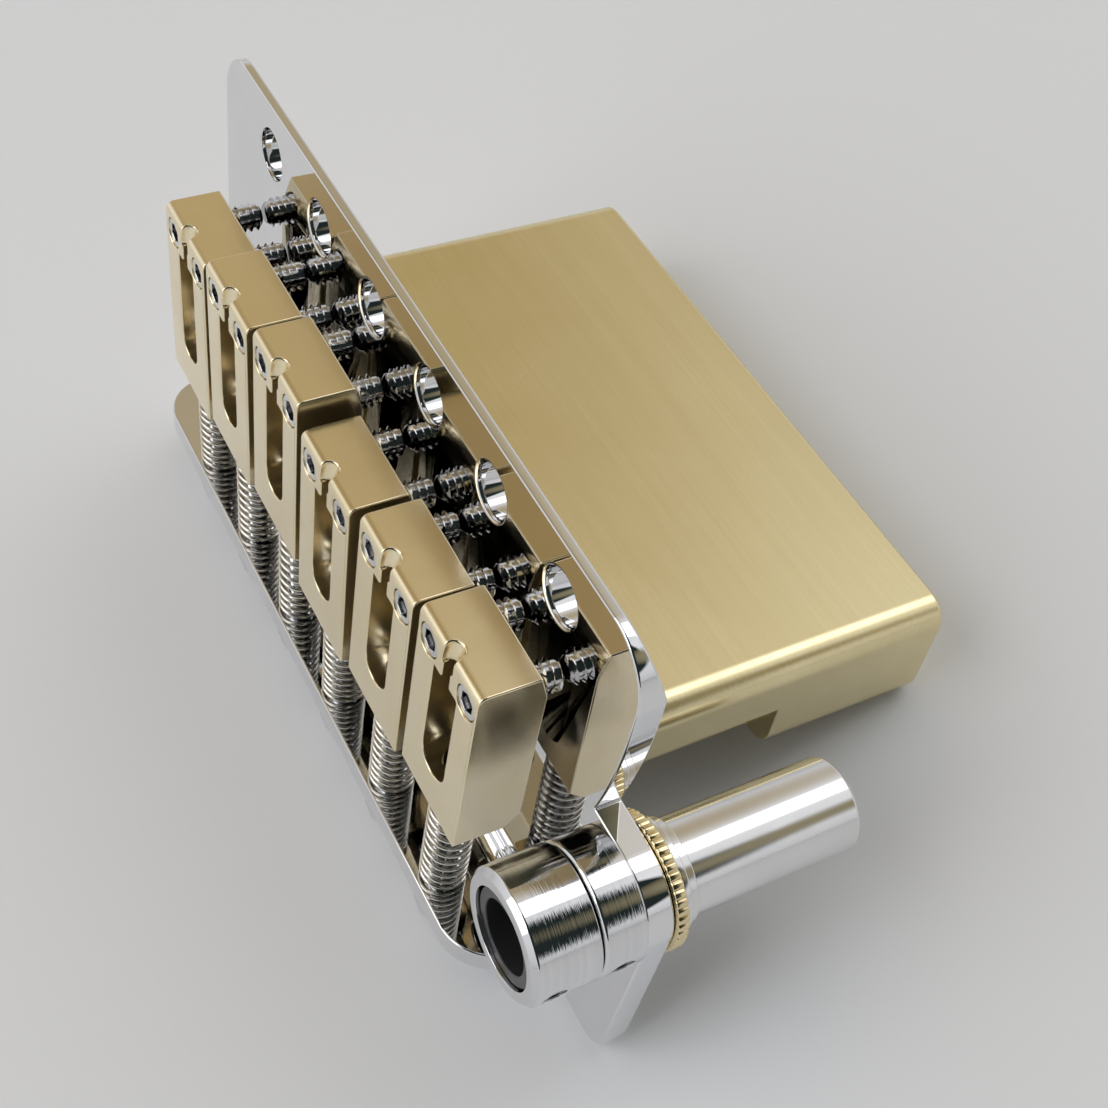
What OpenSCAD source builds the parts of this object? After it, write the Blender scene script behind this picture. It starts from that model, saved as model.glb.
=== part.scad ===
// Six-saddle tremolo bridge, lying on its screw heads and the end of its block.
// Modelled as it is played: X towards the neck, Y towards the bass side, Z up from the plate top.
// The origin of that frame is the middle of the pivot hole row. The finished bridge is then laid down.

/* [Base plate] */
// Thickness of the sheet that the plate, the ear and the lip are made of
plate_t = 2.4; // [1.8:0.1:3.2]
// Distance from the middle of the plate to each end
plate_end = 39.3; // [37:0.1:42]
// Distance from the pivot hole row to the front edge
plate_front = 5.1; // [4.6:0.1:8]
// Radius of the two front corners
plate_corner_r = 5; // [2:0.5:8]
// Thickness left at the front edge
knife_t = 0.9; // [0.5:0.1:1.6]
// Length of the bevel under the front edge
knife_run = 4.6; // [1:0.1:4.9]
// Radius of the curve that draws the treble side in towards the ear
neck_r = 60; // [45:1:90]
// Distance between neighbouring pivot holes
pivot_pitch = 11.2; // [9:0.1:11.6]
// Radius of a pivot hole
pivot_r = 2.3; // [1.6:0.1:2.6]
// Width of the small chamfer round the pivot holes
pivot_rim = 0.25; // [0.1:0.05:0.5]
// Distance of the string holes behind the pivot hole row
string_hole_back = 19.2; // [18.8:0.1:22]
// Radius of the string holes in the plate
plate_string_r = 1.9; // [1.2:0.1:2.2]

/* [Lip] */
// Distance from the pivot hole row to the inner face of the lip
lip_back = 36; // [34:0.5:42]
// Height of the lip above the plate
lip_h = 8.1; // [7.6:0.1:12]
// Inner radius of the bend
bend_r = 1.6; // [0.5:0.1:2.5]
// Radius of the two free corners of the lip
lip_corner_r = 5; // [1:0.5:6]
// Distance from the middle of the plate to the treble end of the lip
lip_treble_end = 36.5; // [34:0.1:36.8]
// Radius of the screw holes in the lip
lip_hole_r = 1.7; // [1.5:0.05:2]
// Height of the screw holes above the plate
lip_hole_z = 5.6; // [5:0.1:6]
// Width of the relief slot between lip and ear
relief_w = 1.2; // [0.6:0.1:2]

/* [Ear and arm socket] */
// Distance of the arm socket behind the pivot hole row
arm_back = 19.3; // [16:0.1:24]
// Distance of the arm socket from the middle of the plate
arm_side = 42.1; // [41.6:0.1:46]
// Outer radius of the ear round the socket
ear_r = 5.2; // [4.6:0.1:6.5]
// Distance from the pivot hole row to the back of the ear
ear_back = 39.6; // [38:0.1:39.7]
// Radius of the outer back corner of the ear
ear_corner_r = 2.6; // [1:0.1:4]
// How much the outer side of the ear draws in towards its back
ear_taper = 1; // [0:0.1:3]
// Radius of the two chrome collars
collar_r = 5.48; // [5:0.02:6.5]
// Chamfer of the lower collar; the upper collar's is twice as wide
collar_chamfer = 0.25; // [0.1:0.05:0.5]
// Height of the lower collar
base_collar_h = 3.7; // [3:0.05:7]
// Gap between the two collars
collar_gap = 0.2; // [0.1:0.05:0.6]
// Height of the upper collar
top_collar_h = 5.7; // [4:0.05:8]
// Outer radius of the sleeve under the ear
sleeve_r = 4; // [3.9:0.05:4.4]
// Wall of the sleeve
sleeve_wall = 0.6; // [0.4:0.05:0.7]
// Length of the sleeve below the plate
sleeve_drop = 18.5; // [14:0.1:30]
// Thickness of the sleeve's closed end
sleeve_floor = 1.5; // [0.8:0.1:3]
// Radius of the hole for the arm
arm_hole_r = 3; // [2.4:0.05:3.1]
// Depth of the sleeve's mouth below the top of the upper collar
mouth_drop = 0.9; // [0.8:0.1:2]
// Thickness of the liner's flange
liner_flange_t = 0.5; // [0.4:0.1:1.2]
// How far the liner lies below the end of the upper collar
liner_recess = 0.35; // [0.1:0.05:0.6]
// Length of the plain liner below its flange
liner_drop = 14; // [6:0.5:20]
// Radius of the knurled lock nut
nut_r = 5.65; // [5.2:0.05:7]
// Thickness of the lock nut
nut_t = 1; // [0.8:0.1:3]
// Ridges round the lock nut
nut_ridges = 48; // [24:1:60]
// Depth of the grooves between the ridges
nut_groove = 0.2; // [0.1:0.05:0.4]
// Thickness of the stepped washer under the lock nut
washer_t = 1.6; // [0.8:0.1:3]
// How far the washer's wide step stands out from the sleeve
washer_step = 0.8; // [0.5:0.1:1.6]
// Radius of the collars' set screws
set_screw_r = 1; // [0.8:0.1:1.4]
// Turn of the collars' set screws round the socket
set_screw_turn = 257; // [180:1:300]

/* [Tremolo block] */
// Distance from the pivot hole row to the front face of the block
block_front = 16; // [14:0.1:17]
// Thickness of the block
block_t = 12; // [11:0.1:16]
// Distance from the middle of the block to each end
block_end = 31.2; // [29:0.1:34]
// Height of the block below the plate
block_h = 37.9; // [30:0.1:44]
// Radius of the block's long edges
block_edge_r = 2.4; // [0.5:0.1:4]
// Chamfer round the far end of the block
block_chamfer = 0.5; // [0.2:0.1:1.2]
// Distance from the front face to the notch in the block's treble end
notch_front = 6; // [6:0.1:9]
// Depth of the notch, from the treble end
notch_side = 3; // [1:0.1:3.5]
// Height of the notch below the plate
notch_h = 21; // [10:0.5:28]
// Radius of the string bores at the plate
string_bore_r = 1.1; // [0.8:0.1:1.6]
// Radius of the bores that take the ball ends of the strings
ball_bore_r = 2.3; // [2:0.1:2.5]
// Depth of the bores that take the ball ends
ball_bore_depth = 25; // [15:0.5:28]
// Radius of the holes that the tremolo springs hook into
hook_hole_r = 1.3; // [1:0.1:1.7]
// Depth of the spring hook holes
hook_hole_depth = 9; // [5:0.5:12]
// Radius of the block screws
block_screw_r = 2; // [1.5:0.1:2.2]
// Length of the block screws below the plate
block_screw_reach = 9; // [6:0.5:14]
// Radius of the countersunk heads of the block screws
block_screw_head_r = 3.7; // [3:0.1:4.2]

/* [Saddles] */
// Distance between neighbouring strings
string_pitch = 10.8; // [10.2:0.05:11]
// Width of a saddle
saddle_w = 9.7; // [8.6:0.05:10]
// Length of a saddle
saddle_l = 19.4; // [18:0.1:20]
// Height of a saddle
saddle_h = 6; // [5.4:0.1:7]
// Distance of each saddle's front face behind the pivot hole row, bass first
saddle_set = [5.8, 4.5, 3.6, 5.5, 4.9, 3.6];
// Lift of each saddle about its hole in the lip, in degrees, bass first
saddle_tilt = [0.7, 0.8, 0.4, 0.4, -0.5, -0.6];
// Height of a saddle's screw axis above its underside
saddle_axis_up = 3.2; // [2.6:0.1:3.6]
// Radius of the saddle's long edges
saddle_edge_r = 0.25; // [0.2:0.05:0.9]
// Radius of the saddle's top front edge
saddle_nose_r = 0.8; // [0.3:0.1:1.5]
// Chamfer of the saddle's lower back edge
saddle_heel = 1.4; // [0.3:0.1:2]
// Length of the relief under the saddle's front
saddle_relief_run = 2.4; // [0.5:0.1:4]
// Height of the relief under the saddle's front
saddle_relief_up = 0.75; // [0.2:0.05:1.5]
// Width of the window that the string comes up through
window_w = 3.9; // [3:0.1:4.2]
// Distance from the front face to the window
window_front = 3.7; // [3:0.1:5]
// Distance from the front face to the back of the window
window_back = 15.45; // [12:0.05:16]
// Width of the throat between string groove and window
throat_w = 1.2; // [0.6:0.1:2]
// Distance from the front face to the throat
throat_front = 1.9; // [1:0.1:3]
// Width of the string groove in the front face
groove_w = 1.7; // [0.8:0.1:2.2]
// Depth of the groove at its crown
crown_depth = 0.9; // [0.2:0.1:1.2]
// Radius of the groove's crown along the string
crown_r = 4.5; // [3:0.1:6]

/* [Saddle screws] */
// Radius of a height screw
height_screw_r = 1.4; // [1.1:0.05:1.45]
// Distance of a height screw from the middle of its saddle
height_screw_side = 3.1; // [3:0.05:3.3]
// Distance of the height screws behind the front face
height_screw_back = 2.4; // [2:0.1:3]
// How far the height screws lie below the top of the saddle
height_screw_sunk = 0.15; // [0.1:0.05:1.5]
// Width of the height screws' hexagon socket, across corners
hex_w = 1.9; // [1:0.1:2.2]
// Depth of the hexagon sockets
hex_depth = 1.4; // [0.8:0.1:1.6]
// Radius of an intonation screw
tune_screw_r = 1.4; // [1.1:0.05:1.5]
// Length of an intonation screw under its head
tune_screw_l = 20; // [18:0.5:24]
// Radius of an intonation screw's head
tune_head_r = 2.75; // [2.2:0.05:3]
// Height of an intonation screw's head
tune_head_h = 3; // [2:0.1:3.5]
// Width of the hexagon socket in a head, across corners
head_hex_w = 2.9; // [2:0.1:3.4]
// Radius of the spring's coil, to the middle of its wire
coil_r = 1.95; // [1.9:0.05:2.2]
// Diameter of the spring wire
wire_d = 0.4; // [0.3:0.05:0.55]
// Curls of one spring
curls = 12; // [4:1:13]

/* [Fits] */
// Radial clearance of a screw in its thread and of a turning fit
turn_fit = 0.05; // [0.02:0.01:0.1]
// Radial clearance of a sleeve or screw in a plain hole
hole_fit = 0.1; // [0.05:0.05:0.3]
// Gap between faces that rest on each other
seat_gap = 0.05; // [0.02:0.01:0.1]
// Gap under the screw heads and height screws, which lets a saddle tilt
tilt_gap = 0.2; // [0.15:0.05:0.3]

/* [Hidden] */
$fn = 48;
STRINGS = 6;
BLOCK_SCREWS = 3;
HOOK_HOLES = 5;
CURL_RINGS = 8;
WIRE_SIDES = 6;
EPS = 0.5;

// Heights above the plate top, and places along the strings
plate_under = -plate_t;
lip_outer = -(lip_back + plate_t);
hinge_x = -(lip_back + plate_t / 2);
bend_x = -(lip_back - bend_r);
bend_outer_r = bend_r + plate_t;
block_mid_x = -(block_front + block_t / 2);
block_foot_z = plate_under - block_h;
sleeve_foot_z = plate_under - sleeve_drop;
sleeve_bore_r = sleeve_r - sleeve_wall;
top_collar_z = base_collar_h + collar_gap;
collars_top_z = top_collar_z + top_collar_h;
sleeve_top_z = collars_top_z - mouth_drop;
base_screw_z = base_collar_h / 2;
top_screw_z = sleeve_top_z - set_screw_r - 2 * seat_gap;
set_screw_from = sleeve_r + seat_gap;
set_screw_to = sqrt(collar_r * collar_r - set_screw_r * set_screw_r) - seat_gap;
ear_corner_x = -(ear_back - ear_corner_r);
ear_side_y = -(arm_side + ear_r);
relief_y = -(lip_treble_end + relief_w);
nut_top_z = plate_under - seat_gap;
washer_top_z = nut_top_z - nut_t - seat_gap;
head_back_x = -tilt_gap - tune_head_h;

// The bridge rests on the block's far end and the screw heads, each touching with a chamfer's edge
head_chamfer = 0.3;
rest_block = [-(block_front + block_t), block_foot_z + block_chamfer];
rest_head = [lip_outer + head_back_x, lip_hole_z - tune_head_r + head_chamfer];
lean = atan2(rest_block[0] - rest_head[0], rest_head[1] - rest_block[1]);
lift = -(rest_block[0] * cos(lean) + rest_block[1] * sin(lean));
top_corner = [lip_outer + head_back_x, lip_hole_z + tune_head_r];
foot_corner = [-block_front, block_foot_z + block_chamfer];
mid_x = (top_corner[0] * sin(lean) - top_corner[1] * cos(lean)
       + foot_corner[0] * sin(lean) - foot_corner[1] * cos(lean)) / 2;
mid_y = (plate_end + ear_side_y) / 2;

echo(lean = lean, lift = lift, mid_x = mid_x, mid_y = mid_y);

// Places of the strings, pivot holes, block screws and spring hooks across the bridge
function string_y(i) = ((STRINGS - 1) / 2 - i) * string_pitch;
function pivot_y(i) = ((STRINGS - 1) / 2 - i) * pivot_pitch;
function block_screw_y(i) = (i - (BLOCK_SCREWS - 1) / 2) * 2 * string_pitch;
function hook_y(i) = (i - (HOOK_HOLES - 1) / 2) * string_pitch;
// Distance of a saddle's front and back face ahead of its tilt axis
function front_x(i) = -saddle_set[i] - hinge_x;
function rear_x(i) = front_x(i) - saddle_l;

// Turns what is modelled as played into the lying bridge
module laid_down() {
    translate([-mid_x, -mid_y, lift])
        rotate([0, lean - 90, 0])
            children();
}

// Puts a saddle, screw or spring on its string, tilted about its hole in the lip
module on_string(i) {
    laid_down()
        translate([hinge_x, string_y(i), lip_hole_z])
            rotate([0, -saddle_tilt[i], 0])
                children();
}

// Puts what is modelled upright on the arm socket's axis
module on_socket() {
    laid_down()
        translate([-arm_back, -arm_side, 0])
            children();
}

// Rectangle with its lower left corner at the origin and four round corners
module round_rectangle(w, h, r) {
    translate([r, 0])
        square([w - 2 * r, h]);
    translate([0, r])
        square([w, h - 2 * r]);
    for (x = [r, w - r], y = [r, h - r])
        translate([x, y])
            circle(r);
}

// Extrudes an outline drawn in X and Z along Y, centred on Y
module extrude_y(w) {
    rotate([90, 0, 0])
        linear_extrude(w, center = true)
            children();
}

// Extrudes an outline drawn in Y and Z along X, from x0 for a length
module extrude_x(x0, l) {
    translate([x0, 0, 0])
        rotate([90, 0, 90])
            linear_extrude(l)
                children();
}

// Flat outline of the plate with its ear, up to the bend
module plate_outline() {
    difference() {
        union() {
            difference() {
                translate([bend_x, -plate_end])
                    square([plate_front - plate_corner_r - bend_x, 2 * plate_end]);
                neck_cut();
            }
            translate([bend_x, plate_corner_r - plate_end])
                square([plate_front - bend_x, 2 * (plate_end - plate_corner_r)]);
            for (side = [-1, 1])
                translate([plate_front - plate_corner_r, side * (plate_end - plate_corner_r)])
                    circle(plate_corner_r);
            ear_outline();
        }
        translate([-ear_back - EPS, relief_y])
            square([ear_back + EPS + bend_x, relief_w]);
        translate([bend_x, relief_y + relief_w / 2])
            circle(relief_w / 2);
    }
}

// What the curve in front of the ear takes off the treble side
module neck_cut() {
    run = arm_back - ear_r;
    difference() {
        translate([-run, -plate_end - EPS])
            square([run, neck_r]);
        translate([0, neck_r - plate_end])
            circle(neck_r);
    }
}

// The ear: round the socket, then drawn in towards a round back corner
module ear_outline() {
    corner_y = ear_side_y + ear_taper + ear_corner_r;
    translate([-arm_back, -arm_side])
        circle(ear_r);
    translate([-arm_back, -arm_side])
        square([ear_r, relief_y + relief_w / 2 + arm_side]);
    translate([-ear_back, corner_y])
        square([ear_back - arm_back, relief_y + relief_w / 2 - corner_y]);
    polygon([[-arm_back, ear_side_y], [-arm_back, corner_y], [ear_corner_x, corner_y],
             [ear_corner_x, corner_y - ear_corner_r]]);
    translate([ear_corner_x, corner_y])
        circle(ear_corner_r);
}

// Side view of the bend and the lip
module lip_profile() {
    difference() {
        intersection() {
            translate([bend_x, bend_r])
                circle(bend_outer_r);
            translate([bend_x - bend_outer_r - EPS, plate_under])
                square([bend_outer_r + EPS, bend_outer_r]);
        }
        translate([bend_x, bend_r])
            circle(bend_r);
    }
    translate([lip_outer, bend_r])
        square([plate_t, lip_h - bend_r]);
}

// The lip, cut to its ends and rounded at its free corners
module lip() {
    intersection() {
        extrude_y(3 * plate_end)
            lip_profile();
        extrude_x(lip_outer - EPS, bend_outer_r + 2 * EPS)
            translate([-lip_treble_end, plate_under - lip_corner_r])
                round_rectangle(plate_end + lip_treble_end, lip_h - plate_under + lip_corner_r, lip_corner_r);
    }
}

// Wedge that leaves the front edge thin
module knife_cut() {
    extrude_y(3 * plate_end)
        polygon([[plate_front - knife_run, plate_under], [plate_front, -knife_t],
                 [plate_front + EPS, -knife_t], [plate_front + EPS, plate_under - EPS],
                 [plate_front - knife_run, plate_under - EPS]]);
}

// Countersunk screw standing on its point, with its flat head level with z = 0
module countersunk_solid(r, head_r, l) {
    translate([0, 0, -l])
        cylinder(r = r, h = l);
    translate([0, 0, r - head_r])
        cylinder(r1 = r, r2 = head_r, h = head_r - r);
}

module base_plate() {
    color("gainsboro")
        laid_down()
            difference() {
                union() {
                    translate([0, 0, plate_under])
                        linear_extrude(plate_t)
                            plate_outline();
                    lip();
                }
                knife_cut();
                for (i = [0 : STRINGS - 1]) {
                    translate([0, pivot_y(i), plate_under - EPS])
                        cylinder(r = pivot_r, h = plate_t + 2 * EPS);
                    translate([0, pivot_y(i), -pivot_rim])
                        cylinder(r1 = pivot_r, r2 = pivot_r + 2 * pivot_rim, h = 2 * pivot_rim);
                    translate([-string_hole_back, string_y(i), plate_under - EPS])
                        cylinder(r = plate_string_r, h = plate_t + 2 * EPS);
                    translate([lip_outer - EPS, string_y(i), lip_hole_z])
                        rotate([0, 90, 0])
                            cylinder(r = lip_hole_r, h = plate_t + 2 * EPS);
                }
                for (i = [0 : BLOCK_SCREWS - 1])
                    translate([block_mid_x, block_screw_y(i), 0])
                        countersunk_solid(block_screw_r + hole_fit, block_screw_head_r + hole_fit, plate_t + EPS);
                translate([-arm_back, -arm_side, plate_under - EPS])
                    cylinder(r = sleeve_r + hole_fit, h = plate_t + 2 * EPS);
            }
}

// Solid block with round long edges and a chamfered far end
module block_body() {
    intersection() {
        translate([-(block_front + block_t), -block_end, block_foot_z])
            linear_extrude(block_h)
                round_rectangle(block_t, 2 * block_end, block_edge_r);
        extrude_y(3 * block_end)
            block_section(-(block_front + block_t), block_t);
        extrude_x(-(block_front + block_t) - EPS, block_t + 2 * EPS)
            block_section(-block_end, 2 * block_end);
    }
}

// Upright outline of the block from x0, with two chamfers at its foot
module block_section(x0, w) {
    polygon([[x0, plate_under], [x0, block_foot_z + block_chamfer],
             [x0 + block_chamfer, block_foot_z], [x0 + w - block_chamfer, block_foot_z],
             [x0 + w, block_foot_z + block_chamfer], [x0 + w, plate_under]]);
}

module tremolo_block() {
    color("burlywood")
        laid_down()
            difference() {
                block_body();
                for (i = [0 : STRINGS - 1])
                    translate([-string_hole_back, string_y(i), block_foot_z - EPS]) {
                        cylinder(r = string_bore_r, h = block_h + 2 * EPS);
                        cylinder(r = ball_bore_r, h = ball_bore_depth + EPS);
                    }
                translate([-(block_front + block_t) - EPS, -block_end - EPS, plate_under - notch_h])
                    cube([block_t - notch_front + EPS, notch_side + EPS, notch_h + EPS]);
                for (i = [0 : HOOK_HOLES - 1])
                    translate([block_mid_x, hook_y(i), block_foot_z - EPS])
                        cylinder(r = hook_hole_r, h = hook_hole_depth + EPS);
                for (i = [0 : BLOCK_SCREWS - 1])
                    translate([block_mid_x, block_screw_y(i), plate_under - block_screw_reach - seat_gap])
                        cylinder(r = block_screw_r + turn_fit, h = block_screw_reach + seat_gap + EPS);
            }
}

module block_screws() {
    color("silver")
        laid_down()
            for (i = [0 : BLOCK_SCREWS - 1])
                translate([block_mid_x, block_screw_y(i), -seat_gap])
                    difference() {
                        countersunk_solid(block_screw_r, block_screw_head_r, plate_t + block_screw_reach - seat_gap);
                        translate([0, 0, -hex_depth])
                            cylinder(r = head_hex_w / 2, h = hex_depth + EPS, $fn = 6);
                    }
}

// Side view of a saddle, front face at x = 0 and underside at z = 0
module saddle_side() {
    polygon([[0, saddle_relief_up], [0, saddle_h - saddle_nose_r], [-saddle_nose_r, saddle_h],
             [-saddle_l, saddle_h], [-saddle_l, saddle_heel], [saddle_heel - saddle_l, 0],
             [-saddle_relief_run, 0]]);
    translate([-saddle_nose_r, saddle_h - saddle_nose_r])
        circle(saddle_nose_r);
}

// Window for the string: square at the front, round at the back
module window_outline() {
    back_x = window_w / 2 - window_back;
    translate([back_x, -window_w / 2])
        square([-window_front - back_x, window_w]);
    translate([back_x, 0])
        circle(window_w / 2);
    translate([-window_front - EPS, -throat_w / 2])
        square([window_front - throat_front + EPS, throat_w]);
}

// What the string groove takes out of the nose: a round-bottomed slot whose floor rises over the crown
module groove_cut() {
    crown_z = saddle_h - crown_depth;
    round_r = groove_w / 2;
    intersection() {
        translate([-throat_front, 0, crown_z - crown_r])
            rotate([90, 0, 0])
                rotate_extrude() {
                    translate([crown_r + round_r, 0])
                        circle(round_r);
                    translate([crown_r + round_r, -round_r])
                        square([crown_r, groove_w]);
                }
        translate([-throat_front, -groove_w / 2 - EPS, crown_z - crown_r])
            cube([throat_front + EPS, groove_w + 2 * EPS, crown_r + crown_depth + EPS]);
    }
}

// Saddle with its front face at x = 0, its underside at z = 0 and its middle at y = 0
module saddle_body() {
    difference() {
        intersection() {
            extrude_y(saddle_w)
                saddle_side();
            extrude_x(-saddle_l - EPS, saddle_l + 2 * EPS)
                translate([-saddle_w / 2, 0])
                    round_rectangle(saddle_w, saddle_h, saddle_edge_r);
        }
        translate([0, 0, -EPS])
            linear_extrude(saddle_h + 2 * EPS)
                window_outline();
        groove_cut();
        for (side = [-1, 1])
            translate([-height_screw_back, side * height_screw_side, -EPS])
                cylinder(r = height_screw_r + turn_fit, h = saddle_h + 2 * EPS);
        translate([-saddle_l - EPS, 0, saddle_axis_up])
            rotate([0, 90, 0])
                cylinder(r = tune_screw_r + turn_fit, h = saddle_l - window_back + 2 * EPS);
    }
}

module saddle(i) {
    color("burlywood")
        on_string(i)
            translate([front_x(i), 0, -saddle_axis_up])
                saddle_body();
}

// Cap screw along X with the face under its head at x = 0 and its point at x = length
module cap_screw(r, l, head_r, head_h) {
    rotate([0, 90, 0])
        difference() {
            union() {
                cylinder(r = r, h = l - r / 3);
                translate([0, 0, l - r / 3])
                    cylinder(r1 = r, r2 = r * 2 / 3, h = r / 3);
                translate([0, 0, head_chamfer - head_h])
                    cylinder(r = head_r, h = head_h - head_chamfer);
                translate([0, 0, -head_h])
                    cylinder(r1 = head_r - head_chamfer, r2 = head_r, h = head_chamfer);
            }
            translate([0, 0, -head_h - EPS])
                cylinder(r = head_hex_w / 2, h = hex_depth + EPS, $fn = 6);
        }
}

module intonation_screw(i) {
    color("silver")
        on_string(i)
            translate([-plate_t / 2 - tilt_gap, 0, 0])
                cap_screw(tune_screw_r, tune_screw_l, tune_head_r, tune_head_h);
}

// Points of a spring's wire along X from x = 0: straight ends and curls between them
function wire_points(l) = concat(
    [[0, coil_r, 0]],
    [for (k = [0 : curls * CURL_RINGS])
        let (turn = 360 * k / CURL_RINGS, run = (l - 2 * wire_d) / (curls * CURL_RINGS))
        [wire_d + run * k, coil_r * cos(turn), coil_r * sin(turn)]],
    [[l, coil_r, 0]]);

function unit(v) = v / norm(v);
function tangent(p, k) = unit(p[min(k + 1, len(p) - 1)] - p[max(k - 1, 0)]);
// Point outwards from the coil's axis, square to the wire
function outward(p, k) = let (t = tangent(p, k), o = [0, p[k][1], p[k][2]]) unit(o - (o * t) * t);

// Rings of the wire's surface, one at each point
function wire_rings(p) = [for (k = [0 : len(p) - 1])
    let (t = tangent(p, k), a = outward(p, k), b = cross(t, a))
    for (s = [0 : WIRE_SIDES - 1])
        let (turn = 360 * s / WIRE_SIDES)
        p[k] + wire_d / 2 * (cos(turn) * a + sin(turn) * b)];

// Triangles between the rings, and fans that close the two ends
function wire_faces(rings) = concat(
    [for (k = [0 : rings - 2], s = [0 : WIRE_SIDES - 1])
        let (a = k * WIRE_SIDES + s, b = k * WIRE_SIDES + (s + 1) % WIRE_SIDES)
        each [[a, b, a + WIRE_SIDES], [b, b + WIRE_SIDES, a + WIRE_SIDES]]],
    [for (s = [1 : WIRE_SIDES - 2]) [0, s + 1, s]],
    [for (s = [1 : WIRE_SIDES - 2])
        let (last = (rings - 1) * WIRE_SIDES)
        [last, last + s, last + s + 1]]);

// Least gap between a spring's curls: every pair of points more than half a curl apart
function wire_gap(p) = min([for (a = [0 : len(p) - 1], b = [a + CURL_RINGS / 2 + 1 : 1 : len(p) - 1])
    norm(p[a] - p[b])]) - wire_d;

// Spring from the lip's inner face to the back of its saddle
module intonation_spring(i) {
    start_x = plate_t / 2 + seat_gap;
    points = wire_points(rear_x(i) - seat_gap - start_x);
    echo(spring = i + 1, least_gap = wire_gap(points));
    color("silver")
        on_string(i)
            translate([start_x, 0, 0])
                polyhedron(wire_rings(points), wire_faces(len(points)), convexity = 20);
}

// Pair of hexagon socket screws from the plate up into a saddle's nose
module height_screws(i) {
    foot_z = tilt_gap - lip_hole_z - (front_x(i) - height_screw_back) * sin(saddle_tilt[i]);
    top_z = saddle_h - saddle_axis_up - height_screw_sunk;
    cone = height_screw_r / 3;
    color("silver")
        on_string(i)
            for (side = [-1, 1])
                translate([front_x(i) - height_screw_back, side * height_screw_side, foot_z])
                    difference() {
                        union() {
                            cylinder(r1 = height_screw_r - cone, r2 = height_screw_r, h = cone);
                            translate([0, 0, cone])
                                cylinder(r = height_screw_r, h = top_z - foot_z - cone);
                        }
                        translate([0, 0, top_z - foot_z - hex_depth])
                            cylinder(r = hex_w / 2, h = hex_depth + EPS, $fn = 6);
                    }
}

// Ring standing on z = 0 with a small chamfer at its top edge
module collar(r, bore, h, chamfer) {
    difference() {
        union() {
            cylinder(r = r, h = h - chamfer);
            translate([0, 0, h - chamfer])
                cylinder(r1 = r, r2 = r - chamfer, h = chamfer);
        }
        translate([0, 0, -EPS])
            cylinder(r = bore, h = h + 2 * EPS);
    }
}

// Round hole or screw pointing outwards from the socket's axis, from one radius to another
module set_screw_solid(r, from_r, to_r, z) {
    rotate([0, 0, set_screw_turn])
        translate([from_r, 0, z])
            rotate([0, 90, 0])
                cylinder(r = r, h = to_r - from_r);
}

// Set screw with its hexagon socket
module set_screw(z) {
    difference() {
        set_screw_solid(set_screw_r, set_screw_from, set_screw_to, z);
        rotate([0, 0, set_screw_turn])
            translate([set_screw_to - set_screw_r / 2, 0, z])
                rotate([0, 90, 0])
                    cylinder(r = set_screw_r / 2, h = set_screw_r, $fn = 6);
    }
}

module socket_base_collar() {
    color("gainsboro")
        on_socket()
            difference() {
                translate([0, 0, seat_gap])
                    collar(collar_r, sleeve_r + hole_fit, base_collar_h - seat_gap, collar_chamfer);
                set_screw_solid(set_screw_r + turn_fit, 0, collar_r + EPS, base_screw_z);
            }
}

module socket_top_collar() {
    color("gainsboro")
        on_socket()
            difference() {
                translate([0, 0, top_collar_z])
                    collar(collar_r, sleeve_r + turn_fit, top_collar_h, 2 * collar_chamfer);
                set_screw_solid(set_screw_r + turn_fit, 0, collar_r + EPS, top_screw_z);
            }
}

module base_set_screw() {
    color("dimgray")
        on_socket()
            set_screw(base_screw_z);
}

module top_set_screw() {
    color("dimgray")
        on_socket()
            set_screw(top_screw_z);
}

// Nylon bush that the arm turns in: a flange over the sleeve's mouth and a plain tube inside it
module arm_liner() {
    flange_z = collars_top_z - liner_recess - liner_flange_t;
    color("dimgray")
        on_socket()
            difference() {
                union() {
                    translate([0, 0, flange_z])
                        cylinder(r = sleeve_r, h = liner_flange_t);
                    translate([0, 0, sleeve_top_z - liner_drop])
                        cylinder(r = sleeve_bore_r - turn_fit, h = flange_z - sleeve_top_z + liner_drop + seat_gap);
                }
                translate([0, 0, sleeve_top_z - liner_drop - EPS])
                    cylinder(r = arm_hole_r, h = liner_drop + mouth_drop + 2 * EPS);
            }
}

// Closed chrome sleeve through the ear, with a round foot
module arm_sleeve() {
    foot_r = 2 * collar_chamfer;
    color("gainsboro")
        on_socket()
            difference() {
                union() {
                    translate([0, 0, sleeve_foot_z + foot_r])
                        cylinder(r = sleeve_r, h = sleeve_top_z - sleeve_foot_z - foot_r);
                    translate([0, 0, sleeve_foot_z])
                        cylinder(r1 = sleeve_r - foot_r, r2 = sleeve_r, h = foot_r);
                }
                translate([0, 0, sleeve_foot_z + sleeve_floor])
                    cylinder(r = sleeve_bore_r, h = sleeve_top_z - sleeve_foot_z);
            }
}

// Outline of the lock nut: a ridge and a groove for each step round
module nut_outline() {
    step = 360 / nut_ridges;
    polygon([for (i = [0 : nut_ridges - 1], part = [0 : 3])
        let (r = part < 2 ? nut_r : nut_r - nut_groove, turn = (i + [0, 0.6, 0.7, 0.9][part]) * step)
        [r * cos(turn), r * sin(turn)]]);
}

module lock_nut() {
    color("goldenrod")
        on_socket()
            translate([0, 0, nut_top_z - nut_t])
                difference() {
                    linear_extrude(nut_t)
                        nut_outline();
                    translate([0, 0, -EPS])
                        cylinder(r = sleeve_r + turn_fit, h = nut_t + 2 * EPS);
                }
}

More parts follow.
